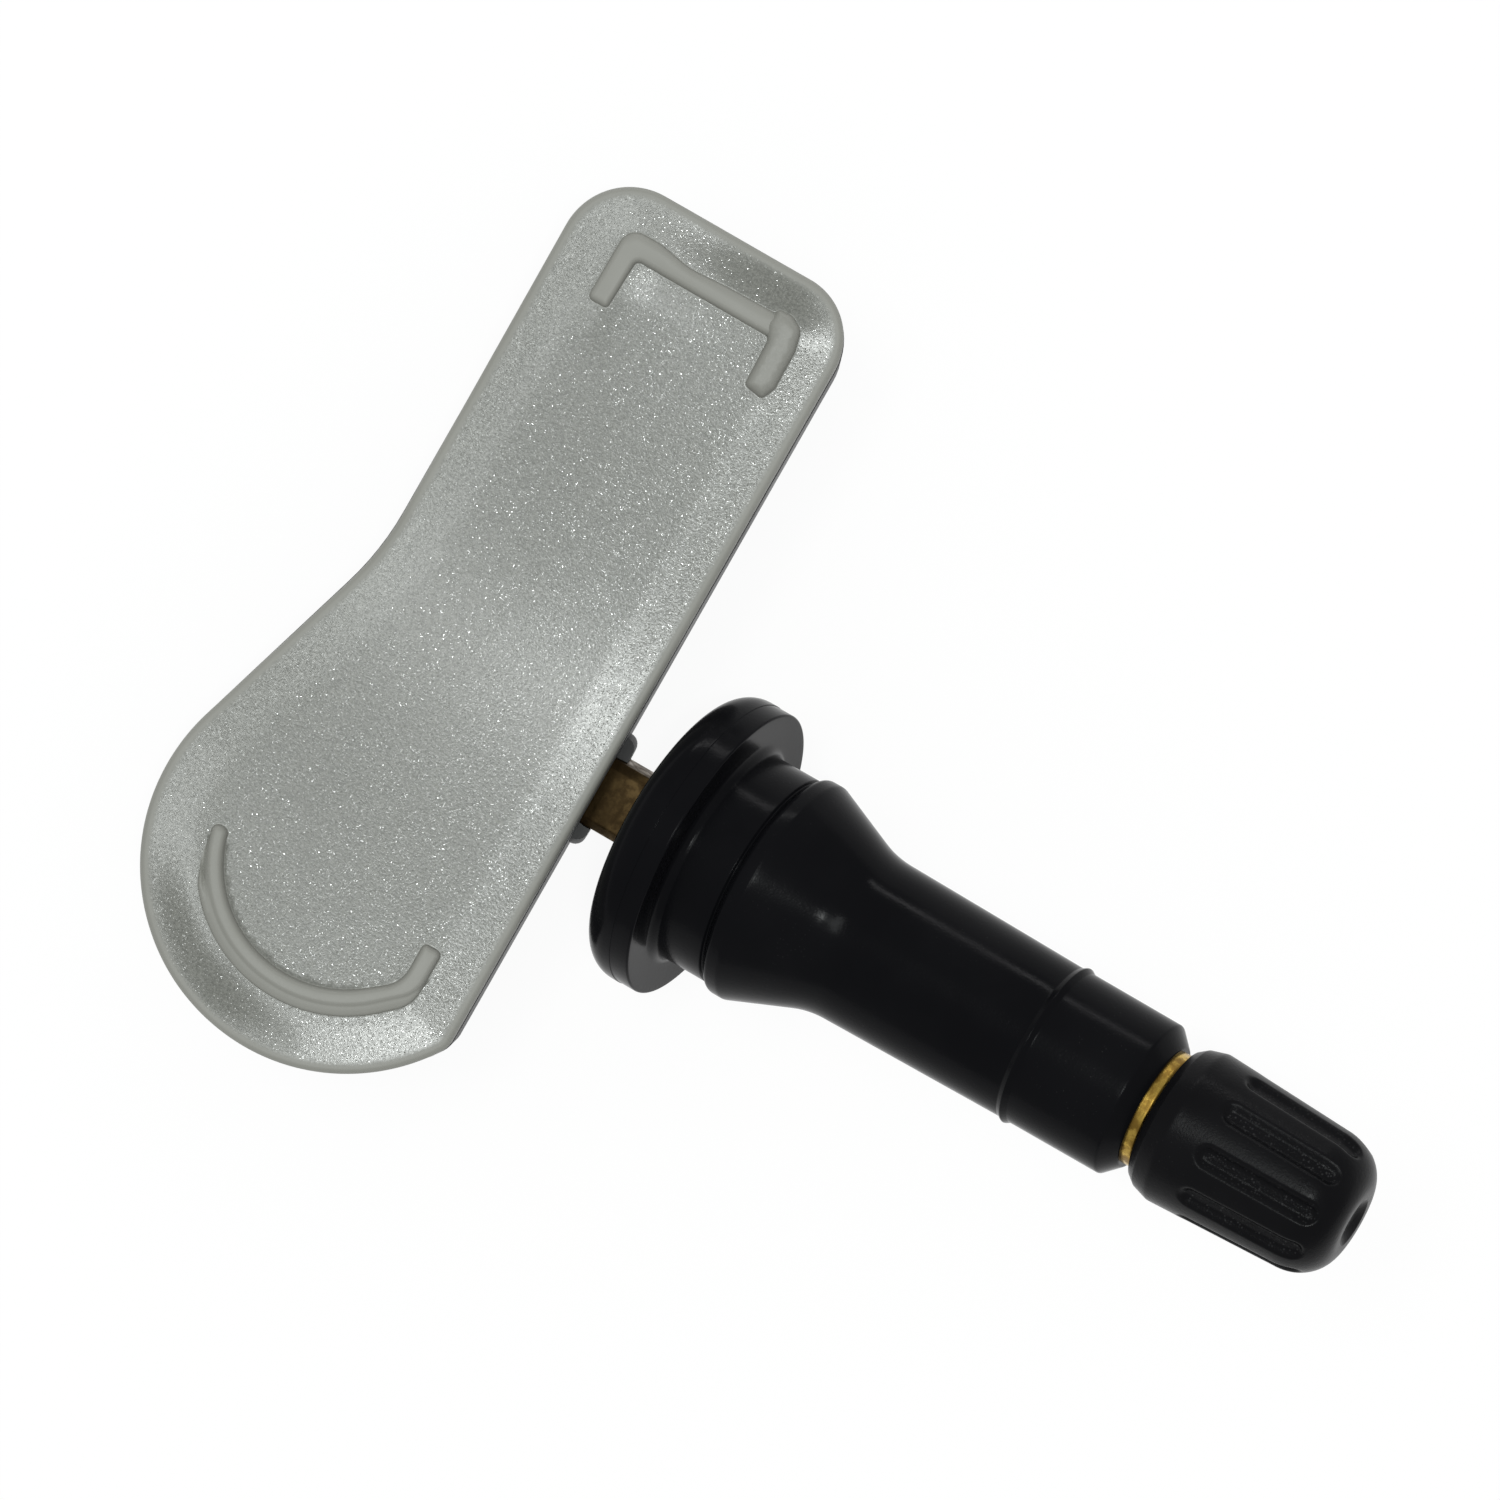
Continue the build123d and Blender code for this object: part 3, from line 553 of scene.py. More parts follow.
def thread_cut(given, angle, height, wall):
    """How deep the thread's groove is, fading in and out at the thread's ends."""
    lead = height / given["Thread Pitch"] - angle / FULL_TURN
    tooth = ((lead + KEEP_POSITIVE).math("FRACT") * 2.0 - 1.0).math("ABSOLUTE")
    start, end = given["Thread Start"], given["Thread End"]
    within = ramp(height, start, start + THREAD_FADE) * ramp(height, end, end - THREAD_FADE)
    return ramp(tooth, 0.85, 0.15, smooth=False) * wall * (within * given["Thread Depth"])


# %% Build the lathe tree
def make_lathe_tree():
    """Turns a closed profile about an upright axis, with flutes and a thread on its outer wall."""
    tree, given, out = new_tree("valve_lathe", "Geometry", {
        "Geometry": "Geometry", "Segments": 160, "Flute Count": 10,
        "Flute Depth": 0.0, "Flute Width": 0.0014, "Flute Start": 0.0, "Flute End": 0.0, "Flute Phase": 0.0,
        "Thread Depth": 0.0, "Thread Pitch": 0.000794, "Thread Start": 0.0, "Thread End": 0.0, "Finish": "Material",
    }, {"Geometry": "Geometry"})
    profile = given["Geometry"]
    size = add_node(tree, "GeometryNodeAttributeDomainSize", {"Geometry": profile}, component="CURVE")
    count = size["Point Count"]
    grid = add_node(tree, "GeometryNodeMeshGrid", {
        "Size X": 1.0, "Size Y": 1.0, "Vertices X": given["Segments"] + 1, "Vertices Y": count,
    })["Mesh"]
    position = add_node(tree, "GeometryNodeInputPosition")[0]
    spot = add_node(tree, "ShaderNodeSeparateXYZ", {0: position})
    angle = (spot[0] + 0.5) * FULL_TURN
    row = ((spot[1] + 0.5) * (count - 1)).math("ROUND")
    point = add_node(tree, "ShaderNodeSeparateXYZ", {0: read_row(profile, row, "FLOAT_VECTOR", position)})
    radius, height = point[0], point[2]
    marks = add_node(tree, "GeometryNodeInputNamedAttribute", {"Name": "radius"}, data_type="FLOAT")[0]
    wall = read_row(profile, row, "FLOAT", marks)
    hollow = flute_floor(given, angle, radius, height) * wall
    final = radius - hollow * given["Flute Depth"] - thread_cut(given, angle, height, wall)
    place = {0: final * angle.math("COSINE"), 1: final * angle.math("SINE"), 2: height}
    around = add_node(tree, "ShaderNodeCombineXYZ", place)[0]
    stored = {"Geometry": grid, "Name": "flute", "Value": hollow}
    marked = add_node(tree, "GeometryNodeStoreNamedAttribute", stored, data_type="FLOAT", domain="POINT")[0]
    turned = add_node(tree, "GeometryNodeSetPosition", {"Geometry": marked, "Position": around})[0]
    closed = add_node(tree, "GeometryNodeMergeByDistance", {"Geometry": turned, "Distance": 0.001 * MM})[0]
    hand_out(tree, out, closed, given["Finish"])
    return tree


valve_lathe = make_lathe_tree()
print("lathe nodes:", len(valve_lathe.nodes))

# %% Turn a piece on the lathe
def turn_piece(name, loop, values, finish, outer=lambda r, s: False, sharp_angle=24.0):
    """Draws a closed (radius, distance) loop in millimetres, turns it and lays it on the valve axis."""
    curve = bpy.data.curves.new(name + "_profile", "CURVE")
    curve.dimensions = "3D"
    spline = curve.splines.new("POLY")
    ring = np.vstack([loop, loop[:1]])
    spline.points.add(len(ring) - 1)
    for point, (radius, along) in zip(spline.points, ring):
        point.co = (max(radius, 0.0) * MM, 0.0, along * MM, 1.0)
        point.radius = 1.0 if outer(radius, along) else 0.0
    mesh = run_tree(add_object(name + "_profile", curve), valve_lathe, {**values, "Finish": finish})
    mesh.name = name
    mesh.transform(valve_axis)
    mesh.update()
    mesh.set_sharp_from_angle(angle=math.radians(sharp_angle))
    print(name, "faces:", len(mesh.polygons))
    return add_object(name, mesh)


# %% [markdown]
# ## The rubber body
# The rubber is moulded round the brass: a rounded flange that seals inside the rim, a seat for the
# hole in the rim, a bell that snaps through, a cone and a long sleeve with one raised ring. It is a
# pure turned shape, so its profile says everything. Fillets in the profile catch the highlights.

# %% Turn the rubber body
STEM_BACK, THREAD_FOOT, STEM_RADIUS = -3.0, 30.4, 3.2
GRIP_RADIUS, GRIP_HALF, GRIP_PITCH = 3.55, 0.8, 6.68
FLANGE_BACK, FLANGE, SEAT, BELL, SLEEVE, MOUTH = -3.7, 9.75, 7.05, 7.43, 5.12, 3.74
grip_rings = [STEM_BACK + GRIP_PITCH * k for k in range(1, 5)]
grip_sides = [(STEM_RADIUS, -GRIP_HALF), (GRIP_RADIUS, -GRIP_HALF), (GRIP_RADIUS, GRIP_HALF), (STEM_RADIUS, GRIP_HALF)]
grip = [(r, at + side, 0) for at in grip_rings for r, side in grip_sides]
rubber_profile = rounded_loop([
    (2.3, FLANGE_BACK, 0), (FLANGE, FLANGE_BACK, 1.9), (FLANGE, -1.3, 0.03), (9.71, -1.3, 0.02), (9.71, 0.0, 0.14),
    (SEAT, -0.08, 0.6), (SEAT, 3.42, 0.08), (6.85, 3.55, 0.05), (7.0, 3.68, 0.05),
    (BELL, 4.0, 0.45), (BELL, 4.9, 0.6), (5.36, 9.9, 6.0),
    (SLEEVE, 23.6, 0.2), (5.33, 23.95, 0.1), (SLEEVE, 24.3, 0.2), (5.08, 30.55, 0.3), (4.08, 31.55, 0.2),
    (MOUTH, 31.55, 0.05), (MOUTH, THREAD_FOOT, 0), (STEM_RADIUS, THREAD_FOOT, 0), *reversed(grip),
    (STEM_RADIUS, STEM_BACK, 0), (2.3, STEM_BACK, 0),
], 0.45)
rubber_body = turn_piece("rubber_body", rubber_profile, {"Segments": 176}, valve_rubber_finish)
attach(rubber_body, "sensor")
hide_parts("valve_rubber")

# %% [markdown]
# ## The brass stem
# Most of the stem is buried in rubber, which grips four rings on it. The threaded end is turned with
# a real helical thread, because unscrewing the cap uncovers it. The neck by the housing is a square
# bar with bevelled corners. Its screw hole, air bore and side hole are cut with Boolean modifiers.

# %% Turn the threaded stem
THREAD_RADIUS, THREAD_TOP, STEM_TOP, AIR_BORE, CORE_SEAT, CORE_MOUTH = 3.8, 40.2, 40.6, 1.5, 2.0, 2.6
thread_rows = [(THREAD_RADIUS, along, 0) for along in np.linspace(THREAD_FOOT, THREAD_TOP, 152)]
stem_profile = rounded_loop([
    (AIR_BORE, STEM_BACK, 0), (STEM_RADIUS, STEM_BACK, 0), *grip, (STEM_RADIUS, THREAD_FOOT, 0), *thread_rows,
    (3.4, STEM_TOP, 0.05), (CORE_MOUTH, STEM_TOP, 0.05), (CORE_MOUTH, 34.6, 0), (2.4, 33.0, 0),
    (CORE_SEAT, 31.2, 0), (CORE_SEAT, 21.0, 0), (AIR_BORE, 19.0, 0),
], 0.6)
thread_values = {"Segments": 168, "Thread Depth": 0.34 * MM, "Thread Start": 32.1 * MM, "Thread End": 40.3 * MM}
stem_thread = turn_piece(
    "stem_thread", stem_profile, thread_values, bright_brass,
    outer=lambda r, s: r > STEM_RADIUS + 0.1 and s > THREAD_FOOT + 0.1, sharp_angle=50.0)

# %% Pull the square neck
SCREW_HOLE, SCREW_END, SIDE_HOLE, SIDE_HOLE_AT, WORN_EDGE = 1.2, -6.1, 0.75, -5.6, 0.1


def make_bar(name, plan, start, end):
    """A straight bar from a plan in millimetres, pulled along its own Z axis."""
    count = len(plan)
    points = [(x * MM, y * MM, z * MM) for z in (start, end) for x, y in plan]
    sides = [(i, (i + 1) % count, count + (i + 1) % count, count + i) for i in range(count)]
    mesh = bpy.data.meshes.new(name)
    mesh.from_pydata(points, [], sides + [tuple(range(count - 1, -1, -1)), tuple(range(count, 2 * count))])
    return add_object(name, mesh)


def circle_plan(radius, count=32):
    """A round plan about the origin."""
    return [(radius * math.cos(a), radius * math.sin(a)) for a in np.linspace(0, FULL_TURN, count, endpoint=False)]


def make_neck(width, bevel, turn, start, end):
    """The bevelled square bar between housing and rubber, with the screw hole, air bore and side hole cut in."""
    half = width / 2
    quarter = [(half, -half + bevel), (half, half - bevel)]
    plan = [(x * c - y * s, x * s + y * c) for c, s in ((1, 0), (0, 1), (-1, 0), (0, -1)) for x, y in quarter]
    neck = make_bar("stem_neck", plan, start, end)
    edge = neck.modifiers.new("worn_edges", "BEVEL")
    edge.width = WORN_EDGE * MM
    edge.segments = 3
    edge.limit_method = "ANGLE"
    cutters = [
        make_bar("screw_hole", circle_plan(SCREW_HOLE), start - 1, SCREW_END),
        make_bar("air_bore", circle_plan(AIR_BORE), SCREW_END - 0.1, end + 1),
        make_bar("side_hole", circle_plan(SIDE_HOLE), -width, 0),
    ]
    sideways = Matrix.Rotation(math.pi / 2, 4, "Y")
    cutters[-1].data.transform(Matrix.Translation((0, 0, SIDE_HOLE_AT * MM)) @ sideways)
    for cutter in cutters:
        cut = neck.modifiers.new(cutter.name, "BOOLEAN")
        cut.operation, cut.object = "DIFFERENCE", cutter
    mesh = finished_mesh(neck)
    neck.modifiers.clear()
    neck.data = mesh
    for cutter in cutters:
        bpy.data.objects.remove(cutter)
    mesh.transform(valve_axis @ Matrix.Rotation(math.radians(turn), 4, "Z"))
    mesh.materials.clear()
    mesh.materials.append(dull_brass)
    mesh.set_sharp_from_angle(angle=math.radians(30))
    print("neck faces:", len(mesh.polygons))
    return neck


stem_neck = make_neck(width=4.55, bevel=0.55, turn=7.0, start=-10.2, end=-2.9)
for piece in (stem_thread, stem_neck):
    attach(piece, "sensor")
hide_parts("valve_stem")

# %% [markdown]
# ## The spring in the valve core
# A small steel spring pushes the valve pin out. It is a wire along a helix, which is what Geometry
# Nodes do well: a spiral curve, and a round section carried along it. The pin's collar presses the
# spring shorter, but here it is wound once, at one length.

# %% Wind the core spring
def make_spring_tree():
    """A closed coil: a spiral curve with a round wire, named sizes and a finish."""
    tree, given, out = new_tree("core_spring_coil", "Geometry", {
        "Turns": 6.0, "Coil Radius": 0.001, "Coil Height": 0.004, "Wire Radius": 0.0001, "Finish": "Material",
    }, {"Geometry": "Geometry"})
    coil = add_node(tree, "GeometryNodeCurveSpiral", {
        "Resolution": 32, "Rotations": given["Turns"], "Start Radius": given["Coil Radius"],
        "End Radius": given["Coil Radius"], "Height": given["Coil Height"],
    })[0]
    wire = {"Resolution": 10, "Radius": given["Wire Radius"]}
    section = add_node(tree, "GeometryNodeCurvePrimitiveCircle", wire)[0]
    swept = {"Curve": coil, "Profile Curve": section, "Fill Caps": True}
    hand_out(tree, out, add_node(tree, "GeometryNodeCurveToMesh", swept)[0], given["Finish"])
    return tree


def wind_spring(low, height):
    """The spring's mesh, laid on the valve axis from one distance in millimetres."""
    blank = add_object("coil_blank", bpy.data.meshes.new("coil_blank"))
    mesh = run_tree(blank, make_spring_tree(), {"Coil Height": height * MM, "Finish": plain_steel})
    mesh.transform(valve_axis @ Matrix.Translation((0, 0, low * MM)))
    print("spring faces:", len(mesh.polygons))
    return add_object("pin_spring", mesh)


SPRING_SEAT, SPRING_TOP, PIN_TRAVEL, WIRE_ROOM = 33.2, 38.1, 1.0, 0.12
pin_spring = wind_spring(SPRING_SEAT + WIRE_ROOM, SPRING_TOP - SPRING_SEAT - 2 * WIRE_ROOM)
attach(pin_spring, "sensor")
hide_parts("core_spring")
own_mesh(pin_spring)

# %% [markdown]
# ## The dust cap
# The cap is a slightly tapered thimble with ten round-ended flutes for the fingers and a dimple in
# its tip. The flutes are the lathe's repeating feature: each one is pressed into the wall where a
# point is near its centre line, so they follow the taper and run out softly on the shoulder.

# %% Turn the cap
CAP_BASE, CAP_TIP, CAP_FLOOR, LINER_FOOT = 32.35, 45.45, 42.0, 40.75
CAP_BORE, LINER_BORE, DOME_FROM_AXIS, DOME_AT, DOME_WIDTH, DOME_HEIGHT = 3.88, 3.44, 2.0, 42.45, 2.6, 3.0
dome = [(DOME_FROM_AXIS + DOME_WIDTH * math.cos(t), DOME_AT + DOME_HEIGHT * math.sin(t), 0)
        for t in np.linspace(0, math.pi / 2, 22)]
cap_profile = rounded_loop([
    (CAP_BORE, CAP_BASE, 0.05), (4.25, CAP_BASE, 0.1), (4.68, CAP_BASE + 0.55, 0.15), (5.0, CAP_BASE + 1.6, 0.8),
    *dome, (1.6, CAP_TIP, 0.15), (0.9, CAP_TIP - 0.42, 0.8), (0.0, CAP_TIP - 0.5, 0),
    (0.0, CAP_FLOOR, 0), (LINER_BORE, CAP_FLOOR, 0.05), (LINER_BORE, LINER_FOOT, 0), (CAP_BORE, LINER_FOOT, 0),
], 0.13)
cap_values = {
    "Segments": 320, "Flute Depth": 0.42 * MM, "Flute Width": 1.75 * MM, "Flute Start": (CAP_BASE + 3.6) * MM,
    "Flute End": (CAP_BASE + 12.0) * MM, "Flute Phase": math.radians(11.0),
}
dust_cap = turn_piece(
    "dust_cap", cap_profile, cap_values, cap_plastic,
    outer=lambda r, s: r > 4.1 or (s > 43.0 and r > 3.0), sharp_angle=40.0)
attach(dust_cap, "cap")
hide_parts("valve_cap")

# %% [markdown]
# ## The lid's outline
# The lid's plan has a straight side by the valve, a narrow end with round corners, a flared waist
# and a round lobe over the coin cell. It is drawn once as a loop, with the same values as the
# solids. All the rest of the lid is measured from this loop.

# %% Draw the lid's plan
EDGE_X, END_Y, FAR_X = -8.38, 33.17, -26.92
LOBE_X, LOBE_Y, LOBE_RADIUS, LOBE_CORNER = -19.15, -11.58, 12.63, 1.4
NEAR_CORNER, FAR_CORNER, WAIST = 4.0, 4.4, 18.0
FLARE = math.radians(17.2)
OUTLINE_STEP, CORNER_STEPS = 0.25, 8


def lid_outline(step, inset=0.0):
    """The lid's plan as a dense anticlockwise loop in millimetres, drawn smaller by an inset."""
    right, left, top = EDGE_X - inset, FAR_X + inset, END_Y - inset
    radius, small = LOBE_RADIUS - inset, max(LOBE_CORNER - inset, 0.2)
    corner_x = right - small
    corner_y = LOBE_Y - math.sqrt((radius - small) ** 2 - (corner_x - LOBE_X) ** 2)
    lean = math.atan2(corner_y - LOBE_Y, corner_x - LOBE_X)
    touch_angle = math.pi - FLARE
    touch = np.array((LOBE_X + radius * math.cos(touch_angle), LOBE_Y + radius * math.sin(touch_angle)))
    waist_y = touch[1] + (left - touch[0]) / math.tan(FLARE)
    upper = rounded_loop([
        (right, corner_y, 0), (right, top, NEAR_CORNER - inset), (left, top, FAR_CORNER - inset),
        (left, waist_y, WAIST + inset), (*touch, 0),
    ], step, closed=False)
    sweep = lean + FULL_TURN - touch_angle
    count = int(radius * sweep / step)
    angles = [touch_angle + sweep * k / count for k in range(1, count + 1)]
    lobe = [(LOBE_X + radius * math.cos(a), LOBE_Y + radius * math.sin(a)) for a in angles]
    turn = [lean - lean * k / CORNER_STEPS for k in range(1, CORNER_STEPS)]
    corner = [(corner_x + small * math.cos(a), corner_y + small * math.sin(a)) for a in turn]
    return np.vstack([upper, lobe, corner])


outline = lid_outline(OUTLINE_STEP)
print("lid outline points:", len(outline), "size in mm:", np.round(np.ptp(outline, axis=0), 2))

# %% [markdown]
# ## The foot ribs
# Two ribs stand on the lid: a three-sided bracket at the narrow end, with a thicker pad as its leg
# by the valve, and a C round the lobe. Each is a closed loop in plan. The C has a low terrace along
# its outer side that fades out before the far tip, so it is drawn twice with different radii.

# %% Draw the ribs' plans
bracket_loop = rounded_loop([
    (-23.6, 25.5, 0.4), (-22.2, 25.5, 0.3), (-22.05, 28.9, 0.35), (-12.6, 28.85, 0.1), (-12.3, 30.32, 0.2),
    (-16.5, 30.26, 4.0), (-19.0, 30.1, 4.0), (-21.3, 30.52, 1.5), (-23.5, 30.5, 1.9),
], 0.2)
pad_loop = rounded_loop([
    (-12.7, 25.6, 0.35), (-11.35, 25.4, 0.3), (-10.95, 26.3, 0.5), (-10.98, 28.8, 2.0), (-11.3, 30.2, 0.9),
    (-12.2, 30.68, 0.5), (-13.15, 30.65, 0.3), (-13.25, 29.5, 0.6), (-12.8, 28.6, 0.6),
], 0.15)
RIB_STEP, C_INNER, C_BEND, C_TIP_Y, C_LEG_IN, C_LEG_OUT = 0.2, 7.5, 48.0, -13.33, -12.8, -11.5
INNER_LAG, TIP_LAG, TIP_BULGE, GROWN_BY, DEGREES_A_RADIAN = 4.0, 2.0, 0.8, 0.16, 57


def lobe_arc(radius, start, end, step):
    """Points of an arc about the lobe's centre, in degrees; the radius may grow over the arc's first part."""
    first, last = radius
    angles = np.radians(np.linspace(start, end, int(abs(end - start) * first / DEGREES_A_RADIAN / step) + 2))
    radii = np.interp(np.linspace(0, 1, len(angles)), [0, GROWN_BY, 1], [first, last, last])
    return [(LOBE_X + r * math.cos(a), LOBE_Y + r * math.sin(a), 0) for r, a in zip(radii, angles)]


def c_rib_outline(outer_radius, outer_start):
    """A C with a straight leg by the valve: outer arc, bend, leg, bend, inner arc, and the round far tip."""
    bend = 360.0 - C_BEND
    outer = lobe_arc(outer_radius, outer_start, bend, RIB_STEP)
    inner = lobe_arc((C_INNER, C_INNER), bend - INNER_LAG, outer_start + TIP_LAG, RIB_STEP)
    along = math.radians(90.0 - C_BEND)
    outer_bend = outer[-1][1] + (C_LEG_OUT - outer[-1][0]) * math.tan(along)
    inner_bend = inner[0][1] + (C_LEG_IN - inner[0][0]) * math.tan(along - math.radians(INNER_LAG))
    leg = [(C_LEG_OUT, outer_bend, 2.2), (C_LEG_OUT, C_TIP_Y, 0.4)]
    leg += [(C_LEG_IN, C_TIP_Y, 0.35), (C_LEG_IN, inner_bend, 2.0)]
    end, start = np.array(inner[-1][:2]), np.array(outer[0][:2])
    middle, half = (end + start) / 2, (start - end) / 2
    beyond = TIP_BULGE * np.array((half[1], -half[0]))
    turns = np.radians(np.arange(20, 180, 20))
    tip = [(*(middle - half * math.cos(t) + beyond * math.sin(t)), 0) for t in turns]
    return rounded_loop(outer + leg + inner + tip, RIB_STEP)


c_terrace_loop = c_rib_outline((8.6, 9.15), 199.0)
c_rib_loop = c_rib_outline((8.55, 8.6), 194.0)
print("rib loops:", len(bracket_loop), len(pad_loop), len(c_rib_loop), len(c_terrace_loop), "points")

# %% [markdown]
# ## Heights from distances
# The lid's top is a height for every point of its plan. A long shallow hollow follows the wheel,
# the rim rolls off towards the edge, and each rib rises by how far a point lies inside its loop.
# Distance to a loop is worked out for all points at once with arrays. A crown, two valleys and a
# twist in the bracket's inner corner tilt the lid by a few degrees, which the lamps pick out.

# %% Signed distances
def inside_distance(points, loop):
    """Distance from each point to a closed loop, positive inside it."""
    best = np.full(len(points), 1e9)
    crossings = np.zeros(len(points), bool)
    for a, b in zip(loop, np.roll(loop, -1, axis=0)):
        along = b - a
        length = along @ along
        if length < 1e-12:
            continue
        share = np.clip(((points - a) @ along) / length, 0, 1)
        best = np.minimum(best, ((points - a - share[:, None] * along) ** 2).sum(1))
        straddles = (a[1] > points[:, 1]) != (b[1] > points[:, 1])
        if along[1]:
            crossings ^= straddles & (points[:, 0] < a[0] + along[0] * (points[:, 1] - a[1]) / along[1])
    return np.where(crossings, 1, -1) * np.sqrt(best)


def soft_step(value, low, high):
    """0 below low, 1 above high, with soft ends."""
    share = np.clip((value - low) / (high - low), 0, 1)
    return share * share * (3 - 2 * share)


def window(value, low, full, still, gone):
    """Rises from low to full and falls again from still to gone."""
    return soft_step(value, low, full) * (1 - soft_step(value, still, gone))


def rounded_rise(depth, width):
    """The side of a rib: a quarter of an ellipse, 0 outside and 1 from its width inwards."""
    share = np.clip(depth / width, 0, 1)
    return np.sqrt(1 - (1 - share) ** 2)


lobe_centre = np.array([(LOBE_X, LOBE_Y)])
print("lobe's centre inside the lid's edge by mm:", np.round(inside_distance(lobe_centre, outline), 2))

# %% Lid heights
LID_MID, LID_BASE, HOLLOW_Y, HOLLOW_SLOPE, HOLLOW_BEND = 2.75, 1.6, 4.0, 0.095, 9.0
EDGE_DROP, EDGE_ROUND, RIM_DROP, RIM_WIDTH, CROWN_X, CROWN_BEND = 0.4, 0.35, 0.15, 3.6, -17.0, 0.0026
CROWN_REACH, LOBE_VALLEY, END_VALLEY, CORNER_TWIST = 15, 0.42, 0.40, 0.07
BAR_RISE, BAR_SIDE, BAR_BACK_SIDE, PAD_RISE, PAD_SIDE, C_RISE, C_SIDE = 0.5, 0.32, 0.24, 0.85, 0.46, 0.62, 0.34
TERRACE_RISE, TERRACE_SIDE, TERRACE_SLOPE = 0.34, 0.20, 0.16
CREASE_RADIUS, CREASE_WIDTH, CREASE_DEPTH = 8.72, 0.13, 0.3
PAD_GRAIN, C_SMOOTH_SHARE, SMOOTH_BAND, RIB_BORDER = 0.2, 0.94, (0.4, 0.7), (-0.06, 0.04)


def bare_lid(x, y, edge, from_lobe, bearing):
    """Heights of the lid without its ribs."""
    z = LID_MID + HOLLOW_SLOPE * (np.hypot(y - HOLLOW_Y, HOLLOW_BEND) - HOLLOW_BEND)
    z -= EDGE_DROP * (1 - rounded_rise(edge, EDGE_ROUND))
    z -= RIM_DROP * (1 - soft_step(edge, 0.0, RIM_WIDTH))
    z -= CROWN_BEND * np.clip(CROWN_X - x, 0, CROWN_REACH) ** 2 * (0.2 + 0.8 * soft_step(y, -10.0, 16.0))
    z -= LOBE_VALLEY * soft_step(from_lobe, 8.9, 12.7) * window(bearing, 12, 50, 72, 106)
    z -= END_VALLEY * soft_step(y, 29.2, 33.7) * window(x, -22.5, -13.5, -12.8, -8.5)
    z += CORNER_TWIST * window(x, -23.4, -22.3, -22.2, -19.8) * window(y, 21.5, 27.8, 29.0, 30.3)
    z -= CORNER_TWIST * window(x, -23.4, -22.3, -20.5, -13.5) * window(y, 26.4, 28.9, 29.0, 30.3)
    return z


def lid_top(points):
    """Heights of the lid's top in millimetres, and where its grain lies."""
    x, y = points.T
    edge = np.maximum(inside_distance(points, outline), 0)
    from_lobe = np.hypot(x - LOBE_X, y - LOBE_Y)
    bearing = np.degrees(np.arctan2(LOBE_Y - y, LOBE_X - x))
    z = bare_lid(x, y, edge, from_lobe, bearing)
    loops = (bracket_loop, pad_loop, c_rib_loop, c_terrace_loop)
    bracket, pad, c_rib, terrace = (inside_distance(points, loop) for loop in loops)
    bar_side = BAR_SIDE + BAR_BACK_SIDE * soft_step(y, 29.3, 29.9)
    rise = np.maximum(BAR_RISE * rounded_rise(bracket, bar_side), PAD_RISE * rounded_rise(pad, PAD_SIDE))
    slope = TERRACE_RISE * rounded_rise(terrace, TERRACE_SIDE) + TERRACE_SLOPE * soft_step(terrace, -0.15, 1.05)
    crease = np.exp(-((from_lobe - CREASE_RADIUS) / CREASE_WIDTH) ** 2) * window(bearing, 16, 22, 30, 44)
    rise = np.maximum(rise, np.where(terrace > 0, slope, 0) - CREASE_DEPTH * crease)
    z += np.maximum(rise, C_RISE * rounded_rise(c_rib, C_SIDE))
    on_bracket = soft_step(np.maximum(bracket, pad), *RIB_BORDER)
    on_c = soft_step(np.maximum(c_rib, terrace), *RIB_BORDER)
    bare = 1 - on_bracket * (1 - PAD_GRAIN * soft_step(pad, 0.1, 0.4))
    # The C is kept mostly smooth, which also pulls its colour towards the lighter smooth grey: partly painted sheen
    # for the rib's slopes.
    return z, soft_step(edge, *SMOOTH_BAND) * bare * (1 - C_SMOOTH_SHARE * on_c)


print("lid's height at the lobe's centre in mm:", np.round(lid_top(lobe_centre)[0], 2))

# %% [markdown]
# ## The lid's mesh
# A plain grid would step across the ribs' edges, so points are laid in rings along every loop and
# on a grid between them. Delaunay triangles join them all, and the heights lift them. The sides,
# the flat underside and the lip that drops into the tub close the lid.

# %% Rings and the underside
LIP_OUTER, LIP_INNER, LIP_DEPTH = 1.4, 2.3, 0.8
BOSS_X, BOSS_HALF, NOTCH_LEFT = -12.0, 4.15, 0.02


def shifted(loop, amount):
    """An anticlockwise loop's points moved inwards along their normals."""
    ahead = np.roll(loop, -1, axis=0) - np.roll(loop, 1, axis=0)
    normal = np.stack([-ahead[:, 1], ahead[:, 0]], 1)
    normal /= np.linalg.norm(normal, axis=1)[:, None] + 1e-12
    return loop + normal * amount


def resampled(loop, count):
    """The same closed loop with a given number of evenly spread points."""
    ring = np.vstack([loop, loop[:1]])
    along = np.concatenate([[0], np.cumsum(np.linalg.norm(np.diff(ring, axis=0), axis=1))])
    spots = np.linspace(0, along[-1], count, endpoint=False)
    return np.stack([np.interp(spots, along, ring[:, k]) for k in (0, 1)], 1)


def lid_underside(count):
    """Rings of the lid's underside from its edge inwards: flat, then round the lip, notched for the boss."""
    lip_out, lip_in = (resampled(lid_outline(OUTLINE_STEP, inset), count) for inset in (LIP_OUTER, LIP_INNER))
    rings = []
    for loop, depth in ((outline, 0.0), (lip_out, 0.0), (lip_out, LIP_DEPTH), (lip_in, LIP_DEPTH), (lip_in, 0.0)):
        notch = (loop[:, 0] > BOSS_X) & (abs(loop[:, 1]) < BOSS_HALF)
        rings.append(np.column_stack([loop, LID_BASE - depth * np.where(notch, NOTCH_LEFT, 1.0)]) * MM)
    return rings


under_rings = lid_underside(len(outline))
print("rings of the lid's underside:", len(under_rings))

